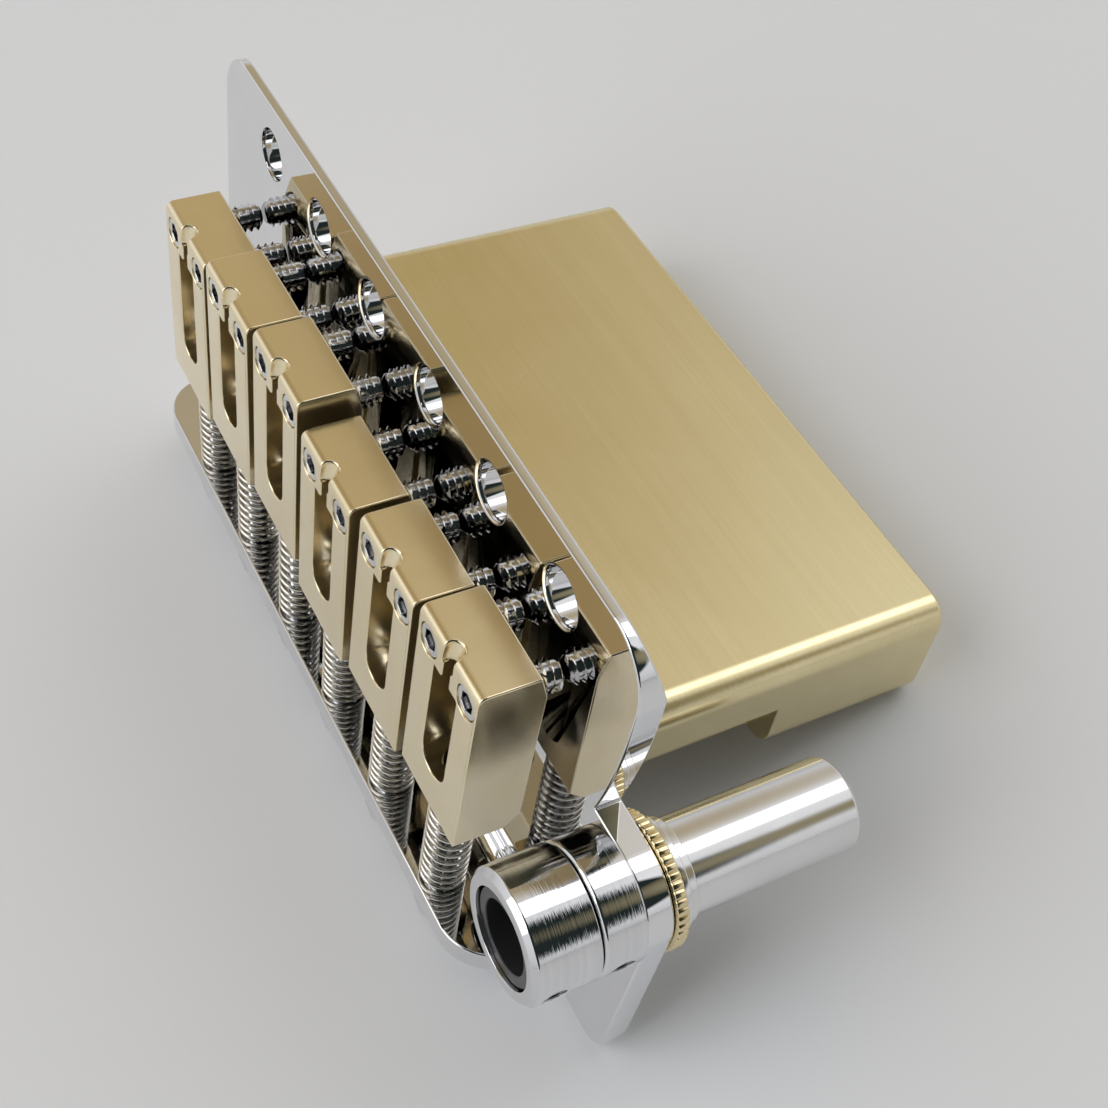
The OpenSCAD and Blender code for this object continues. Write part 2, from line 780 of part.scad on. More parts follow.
// Stepped washer under the lock nut
module sleeve_washer() {
    wide_r = sleeve_r + washer_step;
    color("gainsboro")
        on_socket()
            translate([0, 0, washer_top_z - washer_t])
                difference() {
                    union() {
                        cylinder(r = (sleeve_r + wide_r) / 2, h = washer_t);
                        translate([0, 0, washer_t / 2])
                            cylinder(r = wide_r, h = washer_t / 2);
                    }
                    translate([0, 0, -EPS])
                        cylinder(r = sleeve_r + hole_fit, h = washer_t + 2 * EPS);
                }
}

base_plate();
tremolo_block();
block_screws();
saddle(0);  // saddle_1
saddle(1);  // saddle_2
saddle(2);  // saddle_3
saddle(3);  // saddle_4
saddle(4);  // saddle_5
saddle(5);  // saddle_6
intonation_screw(0);  // intonation_screw_1
intonation_screw(1);  // intonation_screw_2
intonation_screw(2);  // intonation_screw_3
intonation_screw(3);  // intonation_screw_4
intonation_screw(4);  // intonation_screw_5
intonation_screw(5);  // intonation_screw_6
intonation_spring(0);  // intonation_spring_1
intonation_spring(1);  // intonation_spring_2
intonation_spring(2);  // intonation_spring_3
intonation_spring(3);  // intonation_spring_4
intonation_spring(4);  // intonation_spring_5
intonation_spring(5);  // intonation_spring_6
height_screws(0);  // height_screws_1
height_screws(1);  // height_screws_2
height_screws(2);  // height_screws_3
height_screws(3);  // height_screws_4
height_screws(4);  // height_screws_5
height_screws(5);  // height_screws_6
socket_base_collar();
socket_top_collar();
arm_liner();
arm_sleeve();
lock_nut();
sleeve_washer();
base_set_screw();
top_set_screw();
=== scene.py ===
"""Looks of a six-saddle tremolo bridge that lies on its screw heads and the end of its block."""

import logging
import math
from dataclasses import dataclass
from enum import Enum
from functools import cache
from typing import Any, Callable

import bmesh
import bpy
from bpy.types import Material, Mesh, Node, NodeSocket, NodeTree, Object
from mathutils import Matrix, Vector


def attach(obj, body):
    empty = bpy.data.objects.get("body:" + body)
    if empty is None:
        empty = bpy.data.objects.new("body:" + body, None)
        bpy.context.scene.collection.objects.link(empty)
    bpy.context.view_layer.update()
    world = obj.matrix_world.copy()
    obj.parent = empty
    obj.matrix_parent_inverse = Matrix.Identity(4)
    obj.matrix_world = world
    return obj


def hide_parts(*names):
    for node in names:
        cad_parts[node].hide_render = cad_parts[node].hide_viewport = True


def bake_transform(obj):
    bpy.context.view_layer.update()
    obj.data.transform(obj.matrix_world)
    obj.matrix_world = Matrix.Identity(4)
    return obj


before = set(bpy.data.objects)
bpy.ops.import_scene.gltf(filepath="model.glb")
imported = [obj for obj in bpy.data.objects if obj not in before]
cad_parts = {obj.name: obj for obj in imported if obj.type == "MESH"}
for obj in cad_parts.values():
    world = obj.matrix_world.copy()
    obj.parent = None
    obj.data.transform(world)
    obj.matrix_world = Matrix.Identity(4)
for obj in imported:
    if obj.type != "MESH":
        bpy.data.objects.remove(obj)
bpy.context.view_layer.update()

LOG = logging.getLogger("bridge")
MM = 0.001
WELD = 1e-5

Outline = list[tuple[float, float]]
Colour = tuple[float, float, float]
Materials = dict[str, Material]
Forms = dict[str, NodeTree]


# Sizes, in millimetres, as the part's source has them

@dataclass(frozen=True)
class PlateSizes:
    """Bent base plate with its lip and its ear."""

    thickness: float = 2.4
    end: float = 39.3
    front: float = 5.1
    corner_r: float = 5.0
    knife: float = 0.9
    knife_run: float = 4.6
    neck_r: float = 60.0
    pivot_pitch: float = 11.2
    pivot_r: float = 2.3
    rim: float = 0.25
    string_back: float = 19.2
    string_r: float = 1.9
    lip_back: float = 36.0
    lip_height: float = 8.1
    bend_r: float = 1.6
    lip_corner_r: float = 5.0
    lip_treble_end: float = 36.5
    lip_hole_r: float = 1.7
    lip_hole_z: float = 5.6
    relief: float = 1.2
    ear_back: float = 39.6
    ear_corner_r: float = 2.6
    ear_taper: float = 1.0

    @property
    def hinge_x(self) -> float:
        """Middle of the lip's thickness, where the saddles tilt."""
        return -(self.lip_back + self.thickness / 2)

    @property
    def lip_outer(self) -> float:
        """Outer face of the lip."""
        return -(self.lip_back + self.thickness)

    @property
    def bend_x(self) -> float:
        """Where the flat plate ends and the bend starts."""
        return self.bend_r - self.lip_back

    @property
    def bend_run(self) -> float:
        """Length of the bend along its inner face."""
        return self.bend_r * math.pi / 2


@dataclass(frozen=True)
class BlockSizes:
    """Brass block under the plate."""

    front: float = 16.0
    thickness: float = 12.0
    end: float = 31.2
    height: float = 37.9
    edge_r: float = 2.4
    chamfer: float = 0.5
    notch_front: float = 6.0
    notch_side: float = 3.0
    notch_height: float = 21.0
    string_r: float = 1.1
    ball_r: float = 2.3
    ball_depth: float = 25.0
    hook_r: float = 1.3
    hook_depth: float = 9.0
    screw_r: float = 2.0
    screw_reach: float = 9.0
    screw_head_r: float = 3.7
    hooks: int = 5

    @property
    def middle_x(self) -> float:
        """Middle of the block's thickness."""
        return -(self.front + self.thickness / 2)


@dataclass(frozen=True)
class SaddleSizes:
    """One saddle, its place on each string and its screws."""

    pitch: float = 10.8
    width: float = 9.7
    length: float = 19.4
    height: float = 6.0
    setback: tuple[float, ...] = (5.8, 4.5, 3.6, 5.5, 4.9, 3.6)
    tilt: tuple[float, ...] = (0.7, 0.8, 0.4, 0.4, -0.5, -0.6)
    axis_up: float = 3.2
    nose_r: float = 0.8
    heel: float = 1.4
    relief_run: float = 2.4
    relief_up: float = 0.75
    window_width: float = 3.9
    window_front: float = 3.7
    window_back: float = 15.45
    throat_width: float = 1.2
    throat_front: float = 1.9
    groove: float = 1.7
    crown_depth: float = 0.9
    crown_r: float = 4.5
    lifter_r: float = 1.4
    lifter_side: float = 3.1
    lifter_back: float = 2.4
    lifter_sunk: float = 0.15
    lifter_hex: float = 1.9
    tuner_r: float = 1.4
    tuner_length: float = 20.0
    head_r: float = 2.75
    head_height: float = 3.0
    head_chamfer: float = 0.3
    head_seat_r: float = 2.2
    head_tip_r: float = 1.8
    head_hex: float = 2.5
    hex_depth: float = 1.4
    coil_r: float = 1.95
    wire: float = 0.4
    curls: float = 12.0
    tilt_gap: float = 0.2
    seat_gap: float = 0.05


@dataclass(frozen=True)
class SocketSizes:
    """Arm socket with its sleeve and lock nut."""

    back: float = 19.3
    side: float = 42.1
    ear_r: float = 5.2
    collar_r: float = 5.48
    base_collar: float = 3.7
    collar_gap: float = 0.2
    collar_chamfer: float = 0.25
    top_collar: float = 5.7
    sleeve_r: float = 4.0
    sleeve_wall: float = 0.6
    sleeve_drop: float = 18.5
    sleeve_floor: float = 1.5
    hole_r: float = 3.0
    mouth_drop: float = 0.9
    flange: float = 0.5
    liner_recess: float = 0.35
    liner_drop: float = 14.0
    nut_r: float = 5.65
    nut_thickness: float = 1.0
    nut_ridges: int = 48
    nut_groove: float = 0.2
    washer: float = 1.6
    washer_step: float = 0.8
    set_screw_r: float = 1.0
    set_screw_turn: float = 257.0
    turn_fit: float = 0.05
    hole_fit: float = 0.1

    @property
    def top_start(self) -> float:
        """Lower end of the upper collar."""
        return self.base_collar + self.collar_gap

    @property
    def top_end(self) -> float:
        """Upper end of the upper collar."""
        return self.top_start + self.top_collar

    @property
    def sleeve_top(self) -> float:
        """Mouth of the sleeve."""
        return self.top_end - self.mouth_drop


PLATE = PlateSizes()
BLOCK = BlockSizes()
SADDLE = SaddleSizes()
SOCKET = SocketSizes()


@dataclass(frozen=True)
class Lie:
    """How the played bridge is laid down: its lean and the shift to the middle of its box."""

    strings: int = 6

    @property
    def lean(self) -> float:
        """Angle between the plate and the upright, from the two edges that the bridge rests on."""
        run = self.head_back - self.block_back
        rise = PLATE.lip_hole_z - SADDLE.head_r + SADDLE.head_chamfer - self.block_foot
        return math.atan2(run, rise)

    @property
    def block_back(self) -> float:
        """Distance of the block's back face behind the pivot holes."""
        return BLOCK.front + BLOCK.thickness

    @property
    def block_foot(self) -> float:
        """Height of the block's resting edge."""
        return -PLATE.thickness - BLOCK.height + BLOCK.chamfer

    @property
    def head_back(self) -> float:
        """Distance of the screw heads' ends behind the pivot holes."""
        return -PLATE.lip_outer + SADDLE.tilt_gap + SADDLE.head_height

    def laid(self) -> Matrix:
        """Matrix from the playing frame to the lying bridge, in millimetres."""
        sine, cosine = math.sin(self.lean), math.cos(self.lean)
        top = (-self.head_back, PLATE.lip_hole_z + SADDLE.head_r)
        foot = (-BLOCK.front, self.block_foot)
        mid_x = sum(x * sine - z * cosine for x, z in (top, foot)) / 2
        mid_y = (PLATE.end - SOCKET.side - SOCKET.ear_r) / 2
        lift = self.block_back * cosine - self.block_foot * sine
        turn = Matrix.Rotation(self.lean - math.pi / 2, 4, "Y")
        return Matrix.Translation((-mid_x, -mid_y, lift)) @ turn

    def string_y(self, index: int, pitch: float = SADDLE.pitch) -> float:
        """Place across the bridge of a string, or of a pivot hole with its own pitch, from the bass side."""
        return ((self.strings - 1) / 2 - index) * pitch

    def on_string(self, index: int) -> Matrix:
        """Matrix from a string's own frame, X along its intonation screw, to the lying bridge."""
        place = Matrix.Translation((PLATE.hinge_x, self.string_y(index), PLATE.lip_hole_z))
        tilt = Matrix.Rotation(-math.radians(SADDLE.tilt[index]), 4, "Y")
        return self.laid() @ place @ tilt

    def on_socket(self) -> Matrix:
        """Matrix from the arm socket's own frame, Z along its axis, to the lying bridge."""
        return self.laid() @ Matrix.Translation((-SOCKET.back, -SOCKET.side, 0))

    def block_screws(self) -> Outline:
        """Places of the three block screws on the plate."""
        return [(BLOCK.middle_x, side * 2 * SADDLE.pitch) for side in (-1, 0, 1)]


LIE = Lie()


# Node trees

class Tree:
    """A node tree that is written as calls."""

    def __init__(self, tree: NodeTree) -> None:
        """Takes a tree to add nodes to."""
        self.tree = tree

    @classmethod
    def group(cls, kind: str, name: str, inputs: dict[str, float], outputs: dict[str, str]) -> "Tree":
        """Starts a node group.

        Args:
            kind: Blender's name of the kind of tree.
            name: name of the group.
            inputs: name and default value of each number that it takes.
            outputs: name and socket type of each result.

        Returns:
            The tree, with its sockets.
        """
        group = bpy.data.node_groups.new(name, kind)
        for key, value in inputs.items():
            socket = group.interface.new_socket(key, in_out="INPUT", socket_type="NodeSocketFloat")
            socket.default_value = value
        for key, kind_of in outputs.items():
            group.interface.new_socket(key, in_out="OUTPUT", socket_type=kind_of)
        return cls(group)

    @classmethod
    def material(cls, name: str) -> tuple[Material, "Tree"]:
        """Starts a material with an empty tree."""
        material = bpy.data.materials.new(name)
        material.use_nodes = True
        material.node_tree.nodes.clear()
        return material, cls(material.node_tree)

    def add(self, kind: str, inputs: dict[Any, Any] | None = None, **settings: Any) -> Node:
        """Adds a node.

        Args:
            kind: Blender's name of the node type.
            inputs: value, output socket or node for each input, by name or number. A node gives its
                first output.
            settings: properties of the node.

        Returns:
            The node.
        """
        node = self.tree.nodes.new(kind)
        for key, value in settings.items():
            setattr(node, key, value)
        for key, value in (inputs or {}).items():
            if isinstance(value, Node):
                value = value.outputs[0]
            if isinstance(value, NodeSocket):
                self.tree.links.new(value, node.inputs[key])
            else:
                node.inputs[key].default_value = value
        return node

    def math(self, operation: str, *values: Any) -> NodeSocket:
        """Adds a Math node in a geometry or shader tree and returns its result."""
        return self.add("ShaderNodeMath", dict(enumerate(values)), operation=operation).outputs[0]

    def times(self, *values: Any) -> NodeSocket:
        """Adds a product of two numbers."""
        return self.math("MULTIPLY", *values)

    def vector(self, operation: str, *values: Any, **scale: Any) -> NodeSocket:
        """Adds a Vector Math node and returns its result, a number or a vector."""
        inputs = {**dict(enumerate(values)), **scale}
        outputs = self.add("ShaderNodeVectorMath", inputs, operation=operation).outputs
        return outputs["Value" if operation in ("DOT_PRODUCT", "LENGTH") else "Vector"]

    def mixed(self, share: Any, first: Any, second: Any) -> NodeSocket:
        """Adds a mix of two colours."""
        return self.add("ShaderNodeMix", {0: share, 6: first, 7: second}, data_type="RGBA").outputs[2]

    def noise(self, inputs: dict[str, Any], dimensions: str = "3D") -> NodeSocket:
        """Adds a Noise Texture and returns its value."""
        return self.add("ShaderNodeTexNoise", inputs, noise_dimensions=dimensions).outputs[0]

    def surface(self, shader: Node) -> None:
        """Ends a material in its shader."""
        self.add("ShaderNodeOutputMaterial", {0: shader})


class Form:
    """Geometry Nodes trees for what repeats or follows a path."""

    turn_steps = 28
    wire_sides = 10
    ridge_steps = 8
    ridge_top = 0.3
    ridge_slope = 0.9
    rim_share = 1.05

    @staticmethod
    def _start(name: str, inputs: dict[str, float]) -> tuple[Tree, Any]:
        """Starts a tree that takes sizes and a material, and returns it with its inputs."""
        tree = Tree.group("GeometryNodeTree", name, inputs, {"Geometry": "NodeSocketGeometry"})
        tree.tree.interface.new_socket("Material", in_out="INPUT", socket_type="NodeSocketMaterial")
        return tree, tree.add("NodeGroupInput").outputs

    @staticmethod
    def _finish(tree: Tree, geometry: Node, source: Any) -> NodeTree:
        """Ends a tree in Realize Instances and Set Material."""
        real = tree.add("GeometryNodeRealizeInstances", {0: geometry})
        dressed = tree.add("GeometryNodeSetMaterial", {"Geometry": real, "Material": source["Material"]})
        tree.add("NodeGroupOutput", {0: dressed})
        return tree.tree

    @classmethod
    def coil(cls) -> NodeTree:
        """Spring of round wire along Z, with its curls closer together at both ends."""
        sizes = {"Radius": 2, "Wire": 0.5, "Length": 10, "Curls": 7, "Closing": 0.3}
        tree, source = cls._start("spring_coil", sizes)
        span = tree.math("SUBTRACT", source["Length"], source["Wire"])
        path = tree.add("GeometryNodeCurveSpiral", {
            "Resolution": cls.turn_steps, "Rotations": source["Curls"],
            "Start Radius": source["Radius"], "End Radius": source["Radius"], "Height": span})
        place = tree.add("ShaderNodeSeparateXYZ", {0: tree.add("GeometryNodeInputPosition")})
        share = tree.math("DIVIDE", place.outputs["Z"], span)
        wave = tree.math("SINE", tree.times(share, 2 * math.pi))
        drawn = tree.times(tree.times(wave, source["Closing"]), tree.math("DIVIDE", span, -2 * math.pi))
        lifted = tree.math("ADD", drawn, tree.times(source["Wire"], 0.5))
        offset = tree.add("ShaderNodeCombineXYZ", {"Z": lifted})
        moved = tree.add("GeometryNodeSetPosition", {"Geometry": path, "Offset": offset})
        wire = tree.add("GeometryNodeCurvePrimitiveCircle", {
            "Resolution": cls.wire_sides, "Radius": tree.times(source["Wire"], 0.5)})
        tube = tree.add("GeometryNodeCurveToMesh", {
            "Curve": moved, "Profile Curve": wire, "Fill Caps": True})
        smooth = tree.add("GeometryNodeSetShadeSmooth", {"Geometry": tube})
        return cls._finish(tree, smooth, source)

    @classmethod
    def thread(cls) -> NodeTree:
        """Ridge of a screw thread that winds up along Z round a core."""
        tree, source = cls._start("thread_ridge", {"Core": 1.1, "Depth": 0.3, "Pitch": 0.5, "Length": 5})
        turns = tree.math("DIVIDE", source["Length"], source["Pitch"])
        path = tree.add("GeometryNodeCurveSpiral", {
            "Resolution": cls.turn_steps, "Rotations": turns, "Start Radius": source["Core"],
            "End Radius": source["Core"], "Height": source["Length"]})
        upright = tree.add("GeometryNodeSetCurveNormal", {"Curve": path}, mode="Z_UP")
        ridge = tree.add("GeometryNodeCurvePrimitiveCircle", {"Resolution": 3, "Radius": 1.0})
        # The three-sided ring is turned and stretched so that its point stands out by the thread's depth
        wide = tree.times(source["Pitch"], 0.5)
        size = tree.add("ShaderNodeCombineXYZ", {"X": source["Depth"], "Y": wide, "Z": 1.0})
        shaped = tree.add("GeometryNodeTransform", {
            "Geometry": ridge, "Scale": size, "Rotation": (0, 0, math.pi)})
        tube = tree.add("GeometryNodeCurveToMesh", {
            "Curve": upright, "Profile Curve": shaped, "Fill Caps": True})
        return cls._finish(tree, tube, source)

    @classmethod
    def knurled_ring(cls) -> NodeTree:
        """Ring along Z with round edges and ridges round its rim."""
        sizes = {"Outer": 6, "Inner": 4, "Thickness": 2.5, "Ridges": 36, "Groove": 0.3, "Edge": 0.35}
        tree, source = cls._start("knurled_ring", sizes)
        middle = tree.times(tree.math("ADD", source["Outer"], source["Inner"]), 0.5)
        wall = tree.math("SUBTRACT", source["Outer"], source["Inner"])
        path = tree.add("GeometryNodeCurvePrimitiveCircle", {
            "Resolution": tree.times(source["Ridges"], cls.ridge_steps), "Radius": middle})
        size = {"Width": wall, "Height": source["Thickness"]}
        section = tree.add("GeometryNodeCurvePrimitiveQuadrilateral", size)
        eased = tree.add("GeometryNodeFilletCurve", {
            "Curve": section, "Radius": source["Edge"], "Count": 3}, mode="POLY")
        tube = tree.add("GeometryNodeCurveToMesh", {"Curve": path, "Profile Curve": eased})
        place = tree.add("ShaderNodeSeparateXYZ", {0: tree.add("GeometryNodeInputPosition")})
        turn = tree.math("ARCTAN2", place.outputs["Y"], place.outputs["X"])
        ripple = tree.math("COSINE", tree.times(turn, source["Ridges"]))
        raised = tree.math("ADD", ripple, cls.ridge_top)
        cut = tree.math("MINIMUM", tree.times(raised, cls.ridge_slope), 0.0)
        flat = tree.add("ShaderNodeCombineXYZ", {"X": place.outputs["X"], "Y": place.outputs["Y"]})
        reach = tree.vector("LENGTH", flat.outputs[0])
        rim = tree.math("SUBTRACT", source["Outer"], tree.times(source["Edge"], cls.rim_share))
        depth = tree.times(tree.times(cut, tree.math("GREATER_THAN", reach, rim)), source["Groove"])
        offset = tree.vector("SCALE", tree.vector("NORMALIZE", flat.outputs[0]), Scale=depth)
        moved = tree.add("GeometryNodeSetPosition", {"Geometry": tube, "Offset": offset})
        return cls._finish(tree, moved, source)


# Meshes

def arc(centre: tuple[float, float], radius: float, start: float, end: float, steps: int = 12) -> Outline:
    """Points of an arc with both its ends, from one angle to another in degrees."""
    turns = [math.radians(start + (end - start) * step / steps) for step in range(steps + 1)]
    return [(centre[0] + radius * math.cos(turn), centre[1] + radius * math.sin(turn)) for turn in turns]


class Solid:
    """Closed body in millimetres that is cut and eased like a piece of metal."""

    _stand = {"X": lambda a, b, height: Vector((height, a, b)),
              "Y": lambda a, b, height: Vector((a, height, b)),
              "Z": lambda a, b, height: Vector((a, b, height))}

    def __init__(self, data: bmesh.types.BMesh) -> None:
        """Takes a closed mesh."""
        self.data = data

    @classmethod
    def rings(cls, rings: list[list[Vector]]) -> "Solid":
        """Makes a body through rings with as many points each, closed at its two ends."""
        data = bmesh.new()
        loops = [[data.verts.new(point) for point in ring] for ring in rings]
        for low, high in zip(loops, loops[1:]):
            for corners in zip(low, low[1:] + low[:1], high[1:] + high[:1], high):
                data.faces.new(corners)
        data.faces.new(reversed(loops[0]))
        data.faces.new(loops[-1])
        bmesh.ops.recalc_face_normals(data, faces=data.faces)
        return cls(data)

    @classmethod
    def prism(cls, outline: Outline, low: float, high: float, axis: str = "Z") -> "Solid":
        """Extrudes an outline along an axis from one height to another."""
        stand = cls._stand[axis]
        return cls.rings([[stand(a, b, height) for a, b in outline] for height in (low, high)])

    @classmethod
    def lathe(cls, profile: Outline, steps: int = 96) -> "Solid":
        """Turns a closed profile of radius and height round Z.

        Args:
            profile: corners of the profile; a radius of 0 lies on the axis.
            steps: flats round the body.

        Returns:
            The turned body.
        """
        data = bmesh.new()
        turns = [2 * math.pi * step / steps for step in range(steps)]
        loops = [[data.verts.new((r * math.cos(turn), r * math.sin(turn), z)) for r, z in profile]
                 for turn in turns]
        for here, there in zip(loops, loops[1:] + loops[:1]):
            for corners in zip(here, there, there[1:] + there[:1], here[1:] + here[:1]):
                data.faces.new(corners)
        bmesh.ops.remove_doubles(data, verts=data.verts, dist=WELD)
        bmesh.ops.recalc_face_normals(data, faces=data.faces)
        return cls(data)

    @classmethod
    def rod(cls, radius: float, low: float, high: float, steps: int = 64) -> "Solid":
        """Round rod along Z."""
        return cls.lathe([(0, low), (radius, low), (radius, high), (0, high)], steps)

    @classmethod
    def hexagon(cls, width: float, low: float, high: float) -> "Solid":
        """Six-sided rod along Z, with its width measured across the corners."""
        return cls.prism(arc((0, 0), width / 2, 0, 300, steps=5), low, high)

    def at(self, x: float = 0, y: float = 0, z: float = 0, turn: Matrix | None = None) -> "Solid":
        """Turns a copy about the origin, then moves it."""
        copy = self.data.copy()
        copy.transform(Matrix.Translation((x, y, z)) @ (turn or Matrix.Identity(4)))
        return Solid(copy)

    def _object(self) -> Object:
        """Object with the body's mesh."""
        mesh = bpy.data.meshes.new("body")
        self.data.to_mesh(mesh)
        holder = bpy.data.objects.new("body", mesh)
        bpy.context.collection.objects.link(holder)
        return holder

    @staticmethod
    def _taken(holder: Object) -> Mesh:
        """Mesh of an object with its modifiers, after which the object is removed."""
        done = bpy.data.meshes.new_from_object(holder.evaluated_get(bpy.context.evaluated_depsgraph_get()))
        source = holder.data
        bpy.data.objects.remove(holder)
        bpy.data.meshes.remove(source)
        return done

    def minus(self, *cutters: "Solid") -> "Solid":
        """Body less its cutters, which don't touch one another."""
        mesh = bpy.data.meshes.new("parts")
        parts, left = bmesh.new(), bmesh.new()
        for cutter in cutters:
            cutter.data.to_mesh(mesh)
            parts.from_mesh(mesh)
        holder, tool = self._object(), Solid(parts)._object()
        modifier = holder.modifiers.new("cut", "BOOLEAN")
        modifier.operation = "DIFFERENCE"
        modifier.solver = "EXACT"
        modifier.object = tool
        done = self._taken(holder)
        left.from_mesh(done)
        used = tool.data
        bpy.data.objects.remove(tool)
        for spent in (mesh, done, used):
            bpy.data.meshes.remove(spent)
        return Solid(left)

    def sliced(self, places: list[float], move: Callable[[Vector], Vector]) -> "Solid":
        """Cuts edges into the body at places along X and then moves its points."""
        for place in places:
            everything = [*self.data.verts, *self.data.edges, *self.data.faces]
            bmesh.ops.bisect_plane(self.data, geom=everything, dist=WELD, plane_co=(place, 0, 0),
                                   plane_no=(1, 0, 0))
        for vertex in self.data.verts:
            vertex.co = move(vertex.co)
        return self

    def eased(self, matrix: Matrix, edge: float, segments: int = 3, angle: float = 32.0) -> Mesh:
        """Rounds the sharp edges so that they catch the light, and takes the body to its place.

        Args:
            matrix: from the body's own frame to the lying bridge, in millimetres.
            edge: width of the rounding in millimetres.
            segments: faces across the rounding.
            angle: least angle of an edge that is rounded, in degrees.

        Returns:
            The mesh, in metres.
        """
        holder = self._object()
        holder.data.shade_smooth()
        bevel = holder.modifiers.new("edges", "BEVEL")
        bevel.width = edge
        bevel.segments = segments
        bevel.limit_method = "ANGLE"
        bevel.angle_limit = math.radians(angle)
        bevel.use_clamp_overlap = False
        bevel.miter_outer = "MITER_ARC"
        weighted = holder.modifiers.new("flats", "WEIGHTED_NORMAL")
        weighted.keep_sharp = True
        return placed(self._taken(holder), matrix)


def mesh_of(tree: NodeTree, values: dict[str, float], material: Material, sharp: float = 40.0) -> Mesh:
    """Makes a plain mesh from a Geometry Nodes tree.

    Args:
        tree: the tree.
        values: the tree's sizes, by input name.
        material: material of the result.
        sharp: least angle of an edge that stays sharp, in degrees.

    Returns:
        The mesh, in the tree's own frame.
    """
    holder = bpy.data.objects.new("holder", bpy.data.meshes.new("holder"))
    bpy.context.collection.objects.link(holder)
    modifier = holder.modifiers.new("form", "NODES")
    modifier.node_group = tree
    for item in tree.interface.items_tree:
        if item.in_out == "INPUT" and item.name in values:
            modifier[item.identifier] = float(values[item.name])
        elif item.in_out == "INPUT" and item.name == "Material":
            modifier[item.identifier] = material
    made = bpy.data.meshes.new_from_object(holder.evaluated_get(bpy.context.evaluated_depsgraph_get()))
    bpy.data.objects.remove(holder)
    made.set_sharp_from_angle(angle=math.radians(sharp))
    return made


def placed(mesh: Mesh, matrix: Matrix) -> Mesh:
    """Moves a mesh made in millimetres to its place in metres."""
    mesh.transform(Matrix.Scale(MM, 4) @ matrix)
    return mesh


def joined(name: str, meshes: list[Mesh], material: Material) -> Object:
    """Joins meshes into one piece with one material.

    Args:
        name: name of the piece.
        meshes: meshes at their place, which are used up.
        material: material of the piece.

    Returns:
        The piece, linked to the scene.
    """
    parts = [bpy.data.objects.new(name, mesh) for mesh in meshes]
    for part in parts:
        part.data.materials.clear()
        part.data.materials.append(material)
        bpy.context.collection.objects.link(part)
    if len(parts) > 1:
        with bpy.context.temp_override(active_object=parts[0], selected_editable_objects=parts):
            bpy.ops.object.join()
    parts[0].data.name = name
    return parts[0]


def fitted(name: str, meshes: list[Mesh], materials: Materials, finish: str, body: str, node: str,
           slot: str = "") -> None:
    """Joins meshes into a piece that rides on a body and stands for a node.

    Args:
        name: name of the piece.
        meshes: meshes at their place, which are used up.
        materials: the built finishes.
        finish: finish of the piece.
        body: body that it rides on.
        node: node that it hides.
        slot: not used.
    """
    piece = joined(name, meshes, materials[finish])
    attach(piece, body)
    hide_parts(node)
    LOG.info("%s rides on %s with %d faces", piece.name, body, len(piece.data.polygons))


# Finishes

class Effect:
    """Shader node groups that several finishes use, each made once."""

    @staticmethod
    def _start(name: str, inputs: dict[str, float], outputs: tuple[str, ...]) -> tuple[Tree, Any, Any]:
        """Starts a group and returns it with its inputs and its Object coordinates."""
        tree = Tree.group("ShaderNodeTree", name, inputs, dict.fromkeys(outputs, "NodeSocketFloat"))
        return tree, tree.add("NodeGroupInput").outputs, tree.add("ShaderNodeTexCoord").outputs["Object"]

    @staticmethod
    @cache
    def brushing() -> NodeTree:
        """Long fine lines along the row of saddles: a height and a tone."""
        tree, source, place = Effect._start("brushing", {"Fineness": 2600, "Stretch": 70}, ("Height", "Tone"))
        fine = source["Fineness"]
        along = tree.math("DIVIDE", fine, source["Stretch"])
        scale = tree.add("ShaderNodeCombineXYZ", {"X": fine, "Y": along, "Z": fine})
        grid = tree.vector("MULTIPLY", place, scale.outputs[0])
        lines = tree.noise({"Vector": grid, "Scale": 1.0, "Detail": 1.0, "Roughness": 0.5})
        fine_share, broad_share = 0.4, 0.6
        broad = tree.vector("SCALE", grid, Scale=0.12)
        bands = tree.noise({"Vector": broad, "Scale": 1.0, "Detail": 2.0})
        tone = tree.math("ADD", tree.times(lines, fine_share), tree.times(bands, broad_share))
        tree.add("NodeGroupOutput", {0: lines, 1: tone})
        return tree.tree

    @staticmethod
    @cache
    def turning() -> NodeTree:
        """Fine lines that the lathe leaves round the arm socket: a height and a tone."""
        tree, source, place = Effect._start("turning", {"Fineness": 5200}, ("Height", "Tone"))
        axis = (LIE.on_socket().to_3x3() @ Vector((0, 0, 1))).normalized()
        along = tree.vector("DOT_PRODUCT", place, axis)
        wander, stretch = 0.9, 0.3
        drift = tree.noise({"Vector": place, "Scale": 260.0, "Detail": 1.0})
        steps = tree.math("ADD", tree.times(along, source["Fineness"]), tree.times(drift, wander))
        lines = tree.noise({"W": steps, "Scale": 1.0, "Detail": 3.0, "Roughness": 0.65}, "1D")
        broad = tree.noise({"W": tree.times(steps, stretch), "Scale": 1.0}, "1D")
        tree.add("NodeGroupOutput", {0: lines, 1: broad})
        return tree.tree

    @staticmethod
    @cache
    def handling() -> NodeTree:
        """Faint smears and tiny pits that plated and cast surfaces have."""
        scales = {"Smear Scale": 90, "Pit Scale": 2600}
        tree, source, place = Effect._start("handling", scales, ("Smear", "Pit"))
        smear = tree.noise({"Vector": place, "Scale": source["Smear Scale"], "Detail": 5.0, "Roughness": 0.6,
                            "Distortion": 0.4})
        soft = tree.add("ShaderNodeMapRange", {"Value": smear, "From Min": 0.38, "From Max": 0.72})
        grain = tree.noise({"Vector": place, "Scale": source["Pit Scale"], "Detail": 3.0})
        tree.add("NodeGroupOutput", {0: soft, 1: grain})
        return tree.tree


